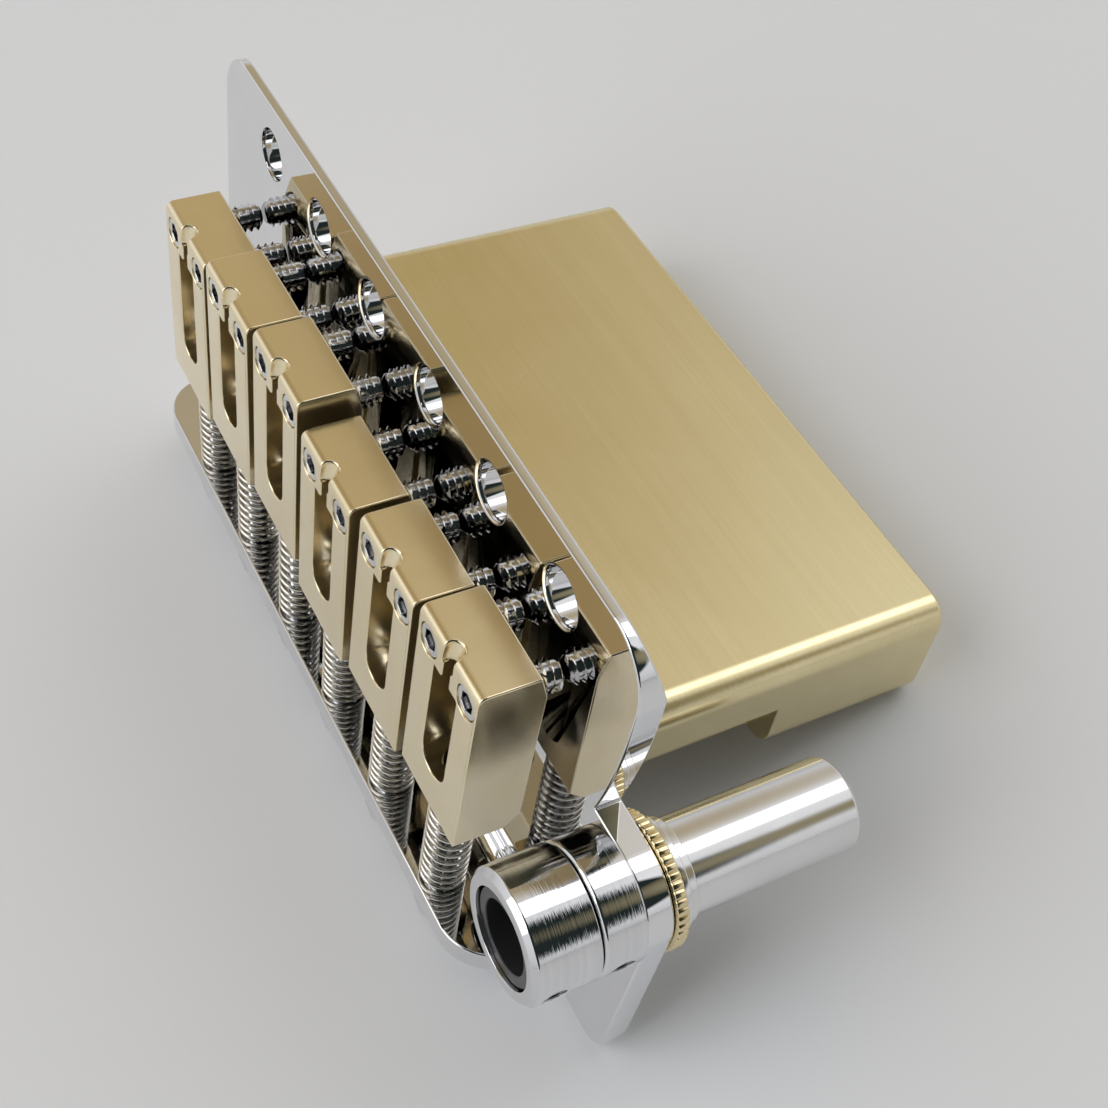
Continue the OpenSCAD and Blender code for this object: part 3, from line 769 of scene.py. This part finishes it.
class Lines(Enum):
    """Surface lines of a metal finish."""

    NONE = "none"
    ALONG_ROW = "along the row of saddles"
    ROUND_SOCKET = "round the arm socket"


@dataclass(frozen=True)
class Finish:
    """Plated or solid metal, or a plastic where it isn't metallic.

    The tone runs between two colours with the surface lines or smears, and smears dull the polish.
    """

    name: str
    bright: Colour
    deep: Colour
    polish: float
    dull: float
    bump: float = 0.0
    lines: Lines = Lines.NONE
    relief: float = 0.00004
    metallic: float = 1.0

    @classmethod
    def plastic(cls, name: str, colour: Colour, roughness: float = 0.3, worn: float = 0.7) -> "Finish":
        """Smooth dark plastic with a faint grain."""
        darker = tuple(worn * part for part in colour)
        return cls(name, colour, darker, polish=roughness, dull=roughness, bump=0.15, relief=0.00003,
                   metallic=0.0)

    def build(self) -> Material:
        """Builds the material."""
        material, tree = Tree.material(self.name)
        handling = tree.add("ShaderNodeGroup", node_tree=Effect.handling()).outputs
        tone, height = handling["Smear"], handling["Pit"]
        if self.lines is not Lines.NONE:
            effect = Effect.brushing() if self.lines is Lines.ALONG_ROW else Effect.turning()
            lines = tree.add("ShaderNodeGroup", node_tree=effect).outputs
            tone, height = lines["Tone"], lines["Height"]
        colour = tree.mixed(tone, (*self.bright, 1), (*self.deep, 1))
        rough = tree.add("ShaderNodeMapRange", {
            "Value": handling["Smear"], "To Min": self.polish, "To Max": self.dull})
        shader = tree.add("ShaderNodeBsdfPrincipled", {
            "Base Color": colour, "Roughness": rough, "Metallic": self.metallic})
        if self.bump:
            bump = tree.add("ShaderNodeBump", {
                "Height": height, "Strength": self.bump, "Distance": self.relief})
            tree.tree.links.new(bump.outputs[0], shader.inputs["Normal"])
        tree.surface(shader)
        return material


FINISHES = {
    "plate_chrome": Finish("mirror_chrome", (0.80, 0.80, 0.81), (0.74, 0.75, 0.77), 0.02, 0.05),
    "block_brass": Finish("brushed_brass", (0.86, 0.76, 0.48), (0.72, 0.61, 0.34), 0.22, 0.28, 0.10,
                          Lines.ALONG_ROW),
    "saddle_brass": Finish("satin_brass", (0.93, 0.82, 0.58), (0.86, 0.74, 0.49), 0.20, 0.26, 0.03),
    "screw_chrome": Finish("screw_chrome", (0.74, 0.74, 0.75), (0.62, 0.62, 0.63), 0.06, 0.14),
    "spring_nickel": Finish("spring_nickel", (0.80, 0.77, 0.70), (0.68, 0.65, 0.58), 0.14, 0.24),
    "collar_chrome": Finish("collar_chrome", (0.80, 0.80, 0.81), (0.66, 0.67, 0.69), 0.04, 0.09, 0.14,
                            Lines.ROUND_SOCKET),
    "sleeve_chrome": Finish("sleeve_chrome", (0.78, 0.78, 0.78), (0.70, 0.70, 0.71), 0.10, 0.16, 0.02),
    "nut_brass": Finish("nut_brass", (0.80, 0.68, 0.42), (0.70, 0.57, 0.32), 0.16, 0.28, 0.04),
    "liner_nylon": Finish.plastic("liner_nylon", (0.035, 0.035, 0.038)),
    "black_steel": Finish.plastic("black_steel", (0.012, 0.012, 0.012)),
}


# Sub-assemblies

@dataclass
class BasePlate:
    """Mirror-polished plate, bent up into the lip."""

    materials: Materials
    edge: float = 0.2
    bend_cuts: int = 14
    over: float = 1.0

    def build(self) -> None:
        """Cuts the flat sheet, drills it, bends up the lip and eases its edges."""
        sheet = Solid.prism(self._outline(), -PLATE.thickness, 0).minus(*self._holes()).minus(self._knife())
        cuts = [PLATE.bend_x - PLATE.bend_run * step / self.bend_cuts for step in range(self.bend_cuts + 1)]
        mesh = sheet.sliced(cuts, self._bent).eased(LIE.laid(), self.edge)
        fitted("plate", [mesh], self.materials, "plate_chrome", "bridge", "base_plate")

    def _outline(self) -> Outline:
        """Outline of the flat sheet, with the lip laid flat behind the bend."""
        p = PLATE
        corner_x = p.front - p.corner_r
        corner_y = p.end - p.corner_r
        lip_x = p.bend_x - p.bend_run - (p.lip_height - p.bend_r) + p.lip_corner_r
        slot_y = -(p.lip_treble_end + p.relief / 2)
        ear_y = -(SOCKET.side + SOCKET.ear_r)
        back = (p.ear_corner_r - p.ear_back, ear_y + p.ear_taper + p.ear_corner_r)
        neck_x = SOCKET.ear_r - SOCKET.back
        neck_turn = math.degrees(math.asin(neck_x / p.neck_r))
        return [*arc((corner_x, corner_y), p.corner_r, 0, 90),
                *arc((lip_x, p.end - p.lip_corner_r), p.lip_corner_r, 90, 180),
                *arc((lip_x, p.lip_corner_r - p.lip_treble_end), p.lip_corner_r, 180, 270),
                *arc((p.bend_x, slot_y), p.relief / 2, 90, -90),
                (-p.ear_back, slot_y - p.relief / 2),
                *arc(back, p.ear_corner_r, 180, 270, steps=8),
                *arc((-SOCKET.back, -SOCKET.side), SOCKET.ear_r, 270, 360, steps=18),
                *arc((0, p.neck_r - p.end), p.neck_r, 270 + neck_turn, 270, steps=10),
                *arc((corner_x, -corner_y), p.corner_r, 270, 360)]

    def _holes(self) -> list[Solid]:
        """Cutters of the pivot, string, lip, screw and socket holes in the flat sheet."""
        p, low, high = PLATE, -PLATE.thickness - self.over, self.over
        mouth_r = p.pivot_r + 2 * p.rim
        pivot = Solid.lathe([(0, low), (p.pivot_r, low), (p.pivot_r, -p.rim),
                             (mouth_r, p.rim), (mouth_r, high), (0, high)])
        string = Solid.rod(p.string_r, low, high)
        lip_hole = Solid.rod(p.lip_hole_r, low, high)
        lip_x = p.bend_x - p.bend_run - (p.lip_hole_z - p.bend_r)
        head, shank = BLOCK.screw_head_r + SOCKET.hole_fit, BLOCK.screw_r + SOCKET.hole_fit
        screw = Solid.lathe([(0, low), (shank, low), (shank, shank - head),
                             (head, 0), (head, high), (0, high)])
        socket = Solid.rod(SOCKET.sleeve_r + SOCKET.hole_fit, low, high, steps=96)
        holes = [socket.at(-SOCKET.back, -SOCKET.side)]
        for index in range(LIE.strings):
            y = LIE.string_y(index)
            holes += [pivot.at(0, LIE.string_y(index, p.pivot_pitch)), string.at(-p.string_back, y),
                      lip_hole.at(lip_x, y)]
        return holes + [screw.at(*place) for place in LIE.block_screws()]

    def _knife(self) -> Solid:
        """Cutter of the bevel under the front edge."""
        p, out = PLATE, self.over
        start, end, below = p.front - p.knife_run, p.front + out, -p.thickness - out
        slope = (p.thickness - p.knife) / p.knife_run
        section = [(start, -p.thickness), (start, below), (end, below), (end, out * slope - p.knife)]
        return Solid.prism(section, -2 * p.end, 2 * p.end, "Y")

    def _bent(self, point: Vector) -> Vector:
        """Takes a point of the flat sheet to its place on the bend or the lip."""
        p = PLATE
        run = p.bend_x - point.x
        if run <= 0 or point.y < -(p.lip_treble_end + p.relief / 2):
            return point
        reach = p.bend_r - point.z
        if run > p.bend_run:
            return Vector((p.bend_x - reach, point.y, p.bend_r + run - p.bend_run))
        turn = run / p.bend_r
        return Vector((p.bend_x - reach * math.sin(turn), point.y, p.bend_r - reach * math.cos(turn)))


@dataclass
class TremoloBlock:
    """Brushed brass block and its three screws."""

    materials: Materials
    edge: float = 0.15
    screw_edge: float = 0.08
    over: float = 1.0

    def build(self) -> None:
        """Builds the block and the screws that hold it."""
        b, block = BLOCK, self._body().eased(LIE.laid(), self.edge)
        fitted("block", [block], self.materials, "block_brass", "bridge", "tremolo_block")
        neck, tip = b.screw_r - b.screw_head_r, -PLATE.thickness - b.screw_reach
        screw = Solid.lathe([(0, tip), (b.screw_r, tip), (b.screw_r, neck), (b.screw_head_r, 0), (0, 0)])
        screw = screw.minus(Solid.hexagon(SADDLE.head_hex, -SADDLE.hex_depth, self.over))
        meshes = [screw.at(*place, -SADDLE.seat_gap).eased(LIE.laid(), self.screw_edge, 2)
                  for place in LIE.block_screws()]
        fitted("block_screw_heads", meshes, self.materials, "screw_chrome", "bridge", "block_screws")

    def _body(self) -> Solid:
        """Block with round long edges, a chamfered foot, its bores and the notch for the arm socket."""
        b, over = BLOCK, self.over
        foot, top = -PLATE.thickness - b.height, -PLATE.thickness
        levels = ((b.chamfer, foot), (0, foot + b.chamfer), (0, top))
        body = Solid.rings([self._section(inset, height) for inset, height in levels])
        back, side = -b.front - b.thickness - over, -b.end - over
        notch_x, notch_y = -b.front - b.notch_front, b.notch_side - b.end
        notch = Solid.prism([(back, side), (notch_x, side), (notch_x, notch_y), (back, notch_y)],
                            top - b.notch_height, top + over)
        seat = foot + b.ball_depth
        string = Solid.lathe([(0, foot - over), (b.ball_r, foot - over), (b.ball_r, seat), (b.string_r, seat),
                              (b.string_r, top + over), (0, top + over)])
        hook = Solid.rod(b.hook_r, foot - over, foot + b.hook_depth)
        bores = [string.at(-PLATE.string_back, LIE.string_y(index)) for index in range(LIE.strings)]
        hooks = [hook.at(b.middle_x, (index - (b.hooks - 1) / 2) * SADDLE.pitch) for index in range(b.hooks)]
        return body.minus(notch).minus(*bores, *hooks)

    @staticmethod
    def _section(inset: float, height: float) -> list[Vector]:
        """Round-cornered section of the block, drawn in all round by the inset."""
        b = BLOCK
        back, front, end = -b.front - b.thickness + b.edge_r, -b.front - b.edge_r, b.end - b.edge_r
        corners = ((front, end, 0), (back, end, 90), (back, -end, 180), (front, -end, 270))
        outline = [point for x, y, turn in corners
                   for point in arc((x, y), b.edge_r - inset, turn, turn + 90)]
        return [Vector((x, y, height)) for x, y in outline]


@dataclass
class StringSet:
    """Saddle, screws and spring of one string."""

    index: int
    materials: Materials
    forms: Forms
    saddle: Solid
    thread_depth: float = 0.28
    lifter_pitch: float = 0.66
    tuner_pitch: float = 0.6
    screw_tip: float = 0.3
    lifter_rim: float = 0.35
    neck: float = 0.2
    runout: float = 0.1
    closing: float = 0.1
    groove_start: int = 91
    groove_end: int = -6
    groove_step: int = 6
    saddle_edge: float = 0.16
    screw_edge: float = 0.1
    over: float = 1.0

    @property
    def number(self) -> int:
        """The string's number in the node names."""
        return self.index + 1

    @property
    def front_x(self) -> float:
        """Front face of the saddle ahead of its tilt axis."""
        return -SADDLE.setback[self.index] - PLATE.hinge_x

    @classmethod
    def shape(cls) -> Solid:
        """One saddle with its front face at x = 0, its underside at z = 0 and its middle at y = 0."""
        s, half, top = SADDLE, SADDLE.width / 2, SADDLE.height + cls.over
        side = [(0, s.relief_up), *arc((-s.nose_r, s.height - s.nose_r), s.nose_r, 0, 90, steps=8),
                (-s.length, s.height), (-s.length, s.heel), (s.heel - s.length, 0), (-s.relief_run, 0)]
        wide, slot, back = s.window_width / 2, s.throat_width / 2, s.window_width / 2 - s.window_back
        window = Solid.prism([(-s.throat_front, -slot), (-s.throat_front, slot), (-s.window_front, slot),
                              (-s.window_front, wide), *arc((back, 0), wide, 90, 270, steps=20),
                              (-s.window_front, -wide), (-s.window_front, -slot)], -cls.over, top)
        hole = Solid.rod(s.lifter_r + s.seat_gap, -cls.over, top)
        holes = [hole.at(-s.lifter_back, sign * s.lifter_side) for sign in (-1, 1)]
        lying = Matrix.Rotation(math.pi / 2, 4, "Y")
        tap = Solid.rod(s.tuner_r + s.seat_gap, -cls.over, s.length - s.window_back + cls.over / 2)
        body = Solid.prism(side, -half, half, "Y").minus(window, *holes)
        return body.minus(cls._groove(), tap.at(-s.length, 0, s.axis_up, lying))

    @classmethod
    def _groove(cls) -> Solid:
        """Cutter of the round-bottomed string groove, which rises over the crown."""
        s, round_r = SADDLE, SADDLE.groove / 2
        outer = s.crown_r + round_r + 2 * cls.over
        section = [(outer, round_r), *arc((s.crown_r + round_r, 0), round_r, 90, 270), (outer, -round_r)]
        centre = s.height - s.crown_depth - s.crown_r
        rings = []
        for angle in range(cls.groove_start, cls.groove_end, -cls.groove_step):
            turn = math.radians(angle)
            rings.append([Vector((reach * math.cos(turn) - s.throat_front, across,
                                  reach * math.sin(turn) + centre)) for reach, across in section])
        return Solid.rings(rings)

    def build(self) -> None:
        """Builds the pieces in the order in which they are fitted."""
        place = LIE.on_string(self.index) @ Matrix.Translation((self.front_x, 0, -SADDLE.axis_up))
        mesh = self.saddle.eased(place, self.saddle_edge)
        node = f"saddle_{self.number}"
        fitted(f"saddle_body_{self.number}", [mesh], self.materials, "saddle_brass", node, node)
        self._tuner()
        self._spring()
        self._lifters()

    def _along(self, start: float) -> Matrix:
        """Turns what stands on Z to run along the string, from a distance ahead of the tilt axis."""
        turn = Matrix.Rotation(math.pi / 2, 4, "Y")
        return LIE.on_string(self.index) @ Matrix.Translation((start, 0, 0)) @ turn

    def _screw(self, body: Solid, place: Matrix, outer: float, pitch: float,
               ends: tuple[float, float]) -> list[Mesh]:
        """Makes the meshes of a screw that stands on Z.

        Args:
            body: its head and core.
            place: from the screw's own frame to the lying bridge.
            outer: radius over the thread.
            pitch: height of one turn of the thread.
            ends: heights between which the thread runs.

        Returns:
            The body and the thread's ridge, at their place.
        """
        low, high = ends
        sizes = {"Core": outer - self.thread_depth, "Depth": self.thread_depth, "Pitch": pitch,
                 "Length": high - low}
        ridge = mesh_of(self.forms["thread"], sizes, self.materials["screw_chrome"])
        ridge.transform(Matrix.Translation((0, 0, low)))
        return [body.eased(place, self.screw_edge, 2), placed(ridge, place)]

    def _tuner(self) -> None:
        """Intonation screw: a domed head with a hexagon socket and a threaded shank."""
        s, tip = SADDLE, self.screw_tip
        core, edge, end = s.tuner_r - self.thread_depth, s.head_chamfer, s.tuner_length
        body = Solid.lathe([
            (0, -s.head_height), (s.head_tip_r - edge, -s.head_height), (s.head_tip_r, edge - s.head_height),
            (s.head_seat_r, -s.head_height / 3), (s.head_seat_r, 0), (core, 0), (core, end - tip),
            (core - tip, end), (0, end)])
        body = body.minus(Solid.hexagon(s.head_hex, -s.head_height - self.over, s.hex_depth - s.head_height))
        place = self._along(-PLATE.thickness / 2 - s.tilt_gap)
        meshes = self._screw(body, place, s.tuner_r, self.tuner_pitch,
                             (tip + self.runout, end - 2 * tip - self.runout))
        fitted(f"tuner_screw_{self.number}", meshes, self.materials, "screw_chrome", f"tuner_{self.number}",
               f"intonation_screw_{self.number}")

    def _spring(self) -> None:
        """Spring between the lip and the back of the saddle, as long as the gap between them."""
        s, nickel = SADDLE, self.materials["spring_nickel"]
        start = PLATE.thickness / 2 + s.seat_gap
        length = self.front_x - s.length - s.seat_gap - start
        sizes = {"Radius": s.coil_r, "Wire": s.wire, "Length": length, "Curls": s.curls,
                 "Closing": self.closing}
        place = self._along(start)
        coil = placed(mesh_of(self.forms["coil"], sizes, nickel), place)
        piece = joined(f"spring_coil_{self.number}", [coil], nickel)
        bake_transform(piece)
        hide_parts(f"intonation_spring_{self.number}")
        LOG.info("%s stretches with its saddle", piece.name)

    def _lifters(self) -> None:
        """Pair of height screws: a plain rim round the hexagon socket and a thread down to the plate."""
        s, tip = SADDLE, self.screw_tip
        top = s.height - s.axis_up - s.lifter_sunk
        shoulder = top - self.lifter_rim
        x = self.front_x - s.lifter_back
        foot = s.tilt_gap - PLATE.lip_hole_z - x * math.sin(math.radians(s.tilt[self.index]))
        core = s.lifter_r - self.thread_depth
        body = Solid.lathe([(0, foot), (core - tip, foot), (core, foot + tip), (core, shoulder - self.neck),
                            (s.lifter_r, shoulder), (s.lifter_r, top), (0, top)])
        body = body.minus(Solid.hexagon(s.lifter_hex, top - s.hex_depth, top + self.over))
        meshes = []
        for side in (-1, 1):
            place = LIE.on_string(self.index) @ Matrix.Translation((x, side * s.lifter_side, 0))
            meshes += self._screw(body, place, s.lifter_r, self.lifter_pitch,
                                  (foot + tip + self.runout / 2, shoulder - self.runout))
        fitted(f"lifter_screws_{self.number}", meshes, self.materials, "screw_chrome",
               f"lifters_{self.number}", f"height_screws_{self.number}")


@dataclass
class ArmSocket:
    """Collars, liner, sleeve, nut and washer on the ear."""

    materials: Materials
    forms: Forms
    edge: float = 0.12
    collar_edge: float = 0.1
    screw_edge: float = 0.08
    nut_edge: float = 0.15
    over: float = 1.0

    def build(self) -> None:
        """Builds the socket from its mouth to its foot."""
        s, gap = SOCKET, SADDLE.seat_gap
        low_screw, top_screw = s.base_collar / 2, s.sleeve_top - s.set_screw_r - 2 * gap
        self._collar("base_collar", "bridge", (gap, s.base_collar), s.collar_chamfer, low_screw)
        self._collar("top_collar", "swivel_collar", (s.top_start, s.top_end), 2 * s.collar_chamfer, top_screw)
        self._set_screw("base", "bridge", low_screw)
        self._set_screw("top", "swivel_collar", top_screw)
        self._tube()
        self._liner()
        self._washer()
        self._nut()

    def _fit(self, name: str, solid: Solid, edge: float, *places: str) -> None:
        """Eases what stands on the socket's axis and fits it: finish, body and node."""
        fitted(name, [solid.eased(LIE.on_socket(), edge)], self.materials, *places)

    def _outward(self) -> Matrix:
        """Turns what stands on Z so that it points outwards, where the set screws are."""
        turn = Matrix.Rotation(math.radians(SOCKET.set_screw_turn), 4, "Z")
        return turn @ Matrix.Rotation(math.pi / 2, 4, "Y")

    def _collar(self, name: str, body: str, ends: tuple[float, float], bevel: float, screw: float) -> None:
        """Builds one collar with a bevelled mouth and the tapped hole of its set screw.

        Args:
            name: name of the piece, and of its node after the word socket.
            body: body that it rides on.
            ends: heights of its two ends.
            bevel: width of the bevel at its mouth.
            screw: height of its set screw.
        """
        s, (low, high) = SOCKET, ends
        bore = s.sleeve_r + s.hole_fit
        ring = Solid.lathe([(bore, low), (s.collar_r, low), (s.collar_r, high - bevel),
                            (s.collar_r - bevel, high), (bore, high)], steps=160)
        hole = Solid.rod(s.set_screw_r + s.turn_fit, bore - self.over, s.collar_r + self.over)
        ring = ring.minus(hole.at(0, 0, screw, self._outward()))
        self._fit(name, ring, self.collar_edge, "collar_chrome", body, f"socket_{name}")

    def _set_screw(self, name: str, body: str, height: float) -> None:
        """Builds a black set screw with its hexagon socket."""
        s = SOCKET
        end = math.sqrt(s.collar_r ** 2 - s.set_screw_r ** 2) - SADDLE.seat_gap
        screw = Solid.rod(s.set_screw_r, s.sleeve_r + SADDLE.seat_gap, end)
        screw = screw.minus(Solid.hexagon(s.set_screw_r, end - s.set_screw_r / 2, end + self.over))
        screw = screw.at(0, 0, height, self._outward())
        self._fit(f"{name}_grub", screw, self.screw_edge, "black_steel", body, f"{name}_set_screw")

    def _tube(self) -> None:
        """Builds the closed chrome sleeve with its chamfered foot."""
        s, chamfer = SOCKET, 2 * SOCKET.collar_chamfer
        foot = -PLATE.thickness - s.sleeve_drop
        bore, floor = s.sleeve_r - s.sleeve_wall, foot + s.sleeve_floor
        tube = Solid.lathe([(0, foot), (s.sleeve_r - chamfer, foot), (s.sleeve_r, foot + chamfer),
                            (s.sleeve_r, s.sleeve_top), (bore, s.sleeve_top), (bore, floor), (0, floor)],
                           steps=144)
        self._fit("sleeve", tube, self.edge, "sleeve_chrome", "bridge", "arm_sleeve", "collar_chrome")

    def _liner(self) -> None:
        """Builds the nylon bush with the flange that shows in the mouth."""
        s = SOCKET
        top = s.top_end - s.liner_recess
        tube_r = s.sleeve_r - s.sleeve_wall - s.turn_fit
        low, seat = s.sleeve_top - s.liner_drop, top - s.flange
        bush = Solid.lathe([(s.hole_r, low), (tube_r, low), (tube_r, seat), (s.sleeve_r, seat),
                            (s.sleeve_r, top), (s.hole_r, top)], steps=128)
        self._fit("liner_bush", bush, self.edge, "liner_nylon", "bridge", "arm_liner")

    def _washer(self) -> None:
        """Builds the stepped washer under the nut."""
        s = SOCKET
        top = -PLATE.thickness - 2 * SADDLE.seat_gap - s.nut_thickness
        bore, wide = s.sleeve_r + s.hole_fit, s.sleeve_r + s.washer_step
        narrow = s.sleeve_r + s.washer_step / 2
        middle, foot = top - s.washer / 2, top - s.washer
        ring = Solid.lathe([(bore, top), (wide, top), (wide, middle), (narrow, middle), (narrow, foot),
                            (bore, foot)], steps=144)
        self._fit("step_washer", ring, self.edge, "sleeve_chrome", "bridge", "sleeve_washer", "collar_chrome")

    def _nut(self) -> None:
        """Builds the knurled nut that locks the sleeve under the ear."""
        s = SOCKET
        sizes = {"Outer": s.nut_r, "Inner": s.sleeve_r + s.turn_fit, "Thickness": s.nut_thickness,
                 "Ridges": s.nut_ridges, "Groove": s.nut_groove, "Edge": self.nut_edge}
        middle = -PLATE.thickness - SADDLE.seat_gap - s.nut_thickness / 2
        place = LIE.on_socket() @ Matrix.Translation((0, 0, middle))
        ring = placed(mesh_of(self.forms["knurl"], sizes, self.materials["nut_brass"]), place)
        fitted("knurled_nut", [ring], self.materials, "nut_brass", "bridge", "lock_nut")


# Studio

@dataclass(frozen=True)
class Softbox:
    """Rectangular soft light that points at the bridge."""

    name: str
    place: tuple[float, float, float]
    size: tuple[float, float]
    power: float
    target: tuple[float, float, float] = (0.0, 0.0, 0.02)

    def build(self) -> None:
        """Adds the light."""
        data = bpy.data.lights.new(self.name, "AREA")
        data.shape = "RECTANGLE"
        data.size, data.size_y = self.size
        data.energy = self.power
        light = bpy.data.objects.new(self.name, data)
        light.location = self.place
        aim = Vector(self.target) - Vector(self.place)
        light.rotation_euler = aim.to_track_quat("-Z", "Y").to_euler()
        bpy.context.collection.objects.link(light)


@dataclass(frozen=True)
class Shade:
    """Round patch of another colour on the room's walls, such as the dark shape behind the camera."""

    towards: tuple[float, float, float]
    half_angle: float
    fade: float
    colour: Colour

    def over(self, tree: Tree, place: NodeSocket, walls: NodeSocket) -> NodeSocket:
        """Lays the patch over the walls.

        Args:
            tree: the world's tree.
            place: direction in the room.
            walls: colour of the walls so far.

        Returns:
            Colour of the walls with the patch.
        """
        length = Vector(self.towards).length
        outer, inner = (length * math.cos(math.radians(self.half_angle + side * self.fade))
                        for side in (0.5, -0.5))
        inside = tree.add("ShaderNodeMapRange", {
            "Value": tree.vector("DOT_PRODUCT", place, self.towards), "From Min": outer, "From Max": inner})
        return tree.mixed(inside, walls, (*self.colour, 1))


@dataclass
class Studio:
    """Pale floor, soft lights, room and camera.

    The room's levels of grey run from the horizon to the zenith. The camera's place and its three
    directions are in the playing frame, and its focal length is in pixels of the picture.
    """

    softboxes: tuple[Softbox, ...] = (
        Softbox("window", (0.70, 0.03, 0.70), (0.40, 0.56), 0.85),
        Softbox("ceiling", (-0.75, 0.10, 0.95), (0.9, 0.9), 3.7),
    )
    shades: tuple[Shade, ...] = (
        Shade((-0.06, -0.70, 0.71), 44.0, 2.0, (0.018, 0.026, 0.024)),
        Shade((0.34, 0.72, 0.60), 24.0, 20.0, (0.46, 0.38, 0.24)),
        Shade((-0.18, 0.54, 0.82), 20.0, 14.0, (0.34, 0.26, 0.14)),
        Shade((0.66, -0.60, 0.45), 8.0, 10.0, (0.30, 0.26, 0.16)),
    )
    levels: tuple[tuple[float, float], ...] = (
        (0.0, 0.62), (0.12, 0.72), (0.45, 0.86), (0.7, 0.92), (1.0, 0.7))
    blue: float = 1.01
    floor_colour: Colour = (0.90, 0.915, 0.945)
    floor_half: float = 1.5
    eye: tuple[float, float, float] = (89.033, -89.087, 46.512)
    right: tuple[float, float, float] = (0.133385, -0.465042, -0.875182)
    down: tuple[float, float, float] = (-0.658894, -0.701259, 0.272204)
    ahead: tuple[float, float, float] = (-0.740315, 0.540345, -0.399951)
    focal_px: float = 1633.342
    image_px: float = 1108.0
    sensor: float = 36.0
    nearest: float = 0.005

    def build(self) -> None:
        """Builds floor, lights, room and camera."""
        self._floor()
        self._room()
        for softbox in self.softboxes:
            softbox.build()
        self._camera()
        bpy.context.scene.view_settings.view_transform = "Standard"

    def _floor(self) -> None:
        """Adds a plain floor with a barely seen paper grain."""
        half = self.floor_half
        data = bpy.data.meshes.new("floor")
        data.from_pydata([(-half, -half, 0), (half, -half, 0), (half, half, 0), (-half, half, 0)], [],
                         [(0, 1, 2, 3)])
        material, tree = Tree.material("pale_floor")
        place = tree.add("ShaderNodeTexCoord").outputs["Object"]
        grain = tree.noise({"Vector": place, "Scale": 900.0, "Detail": 3.0})
        bump = tree.add("ShaderNodeBump", {"Height": grain, "Strength": 0.05, "Distance": 0.0001})
        tree.surface(tree.add("ShaderNodeBsdfPrincipled", {
            "Base Color": (*self.floor_colour, 1), "Roughness": 0.7, "Normal": bump}))
        data.materials.append(material)
        floor = bpy.data.objects.new("floor", data)
        bpy.context.collection.objects.link(floor)

    def _room(self) -> None:
        """Lights the room: pale walls all round with the shades on them."""
        world = bpy.data.worlds.new("room")
        bpy.context.scene.world = world
        world.use_nodes = True
        world.node_tree.nodes.clear()
        tree = Tree(world.node_tree)
        place = tree.add("ShaderNodeTexCoord").outputs["Generated"]
        ramp = tree.add("ShaderNodeValToRGB", {0: tree.add("ShaderNodeSeparateXYZ", {0: place}).outputs["Z"]})
        stops = ramp.color_ramp.elements
        while len(stops) < len(self.levels):
            stops.new(0.5)
        for stop, (height, level) in zip(stops, self.levels):
            stop.position = height
            stop.color = (level, level, level * self.blue, 1)
        walls = ramp.outputs[0]
        for shade in self.shades:
            walls = shade.over(tree, place, walls)
        back = tree.add("ShaderNodeBackground", {0: walls, 1: 1.0})
        tree.add("ShaderNodeOutputWorld", {0: back})

    def _camera(self) -> None:
        """Adds the camera where the photograph was taken from."""
        data = bpy.data.cameras.new("camera")
        data.sensor_fit = "HORIZONTAL"
        data.sensor_width = self.sensor
        data.lens = self.focal_px * data.sensor_width / self.image_px
        data.clip_start = self.nearest
        camera = bpy.data.objects.new("camera", data)
        played = Matrix((self.right, -Vector(self.down), -Vector(self.ahead))).transposed().to_4x4()
        view = LIE.laid() @ Matrix.Translation(self.eye) @ played
        camera.matrix_world = Matrix.Translation(MM * view.translation) @ view.to_3x3().normalized().to_4x4()
        bpy.context.collection.objects.link(camera)
        bpy.context.scene.camera = camera


def main() -> None:
    """Builds the studio and every sub-assembly in order."""
    logging.basicConfig(level=logging.INFO, format="%(message)s")
    materials = {name: finish.build() for name, finish in FINISHES.items()}
    forms = {"coil": Form.coil(), "thread": Form.thread(), "knurl": Form.knurled_ring()}
    Studio().build()
    BasePlate(materials).build()
    TremoloBlock(materials).build()
    saddle = StringSet.shape()
    for index in range(LIE.strings):
        StringSet(index, materials, forms, saddle).build()
    ArmSocket(materials, forms).build()


if __name__ == "__main__":
    main()
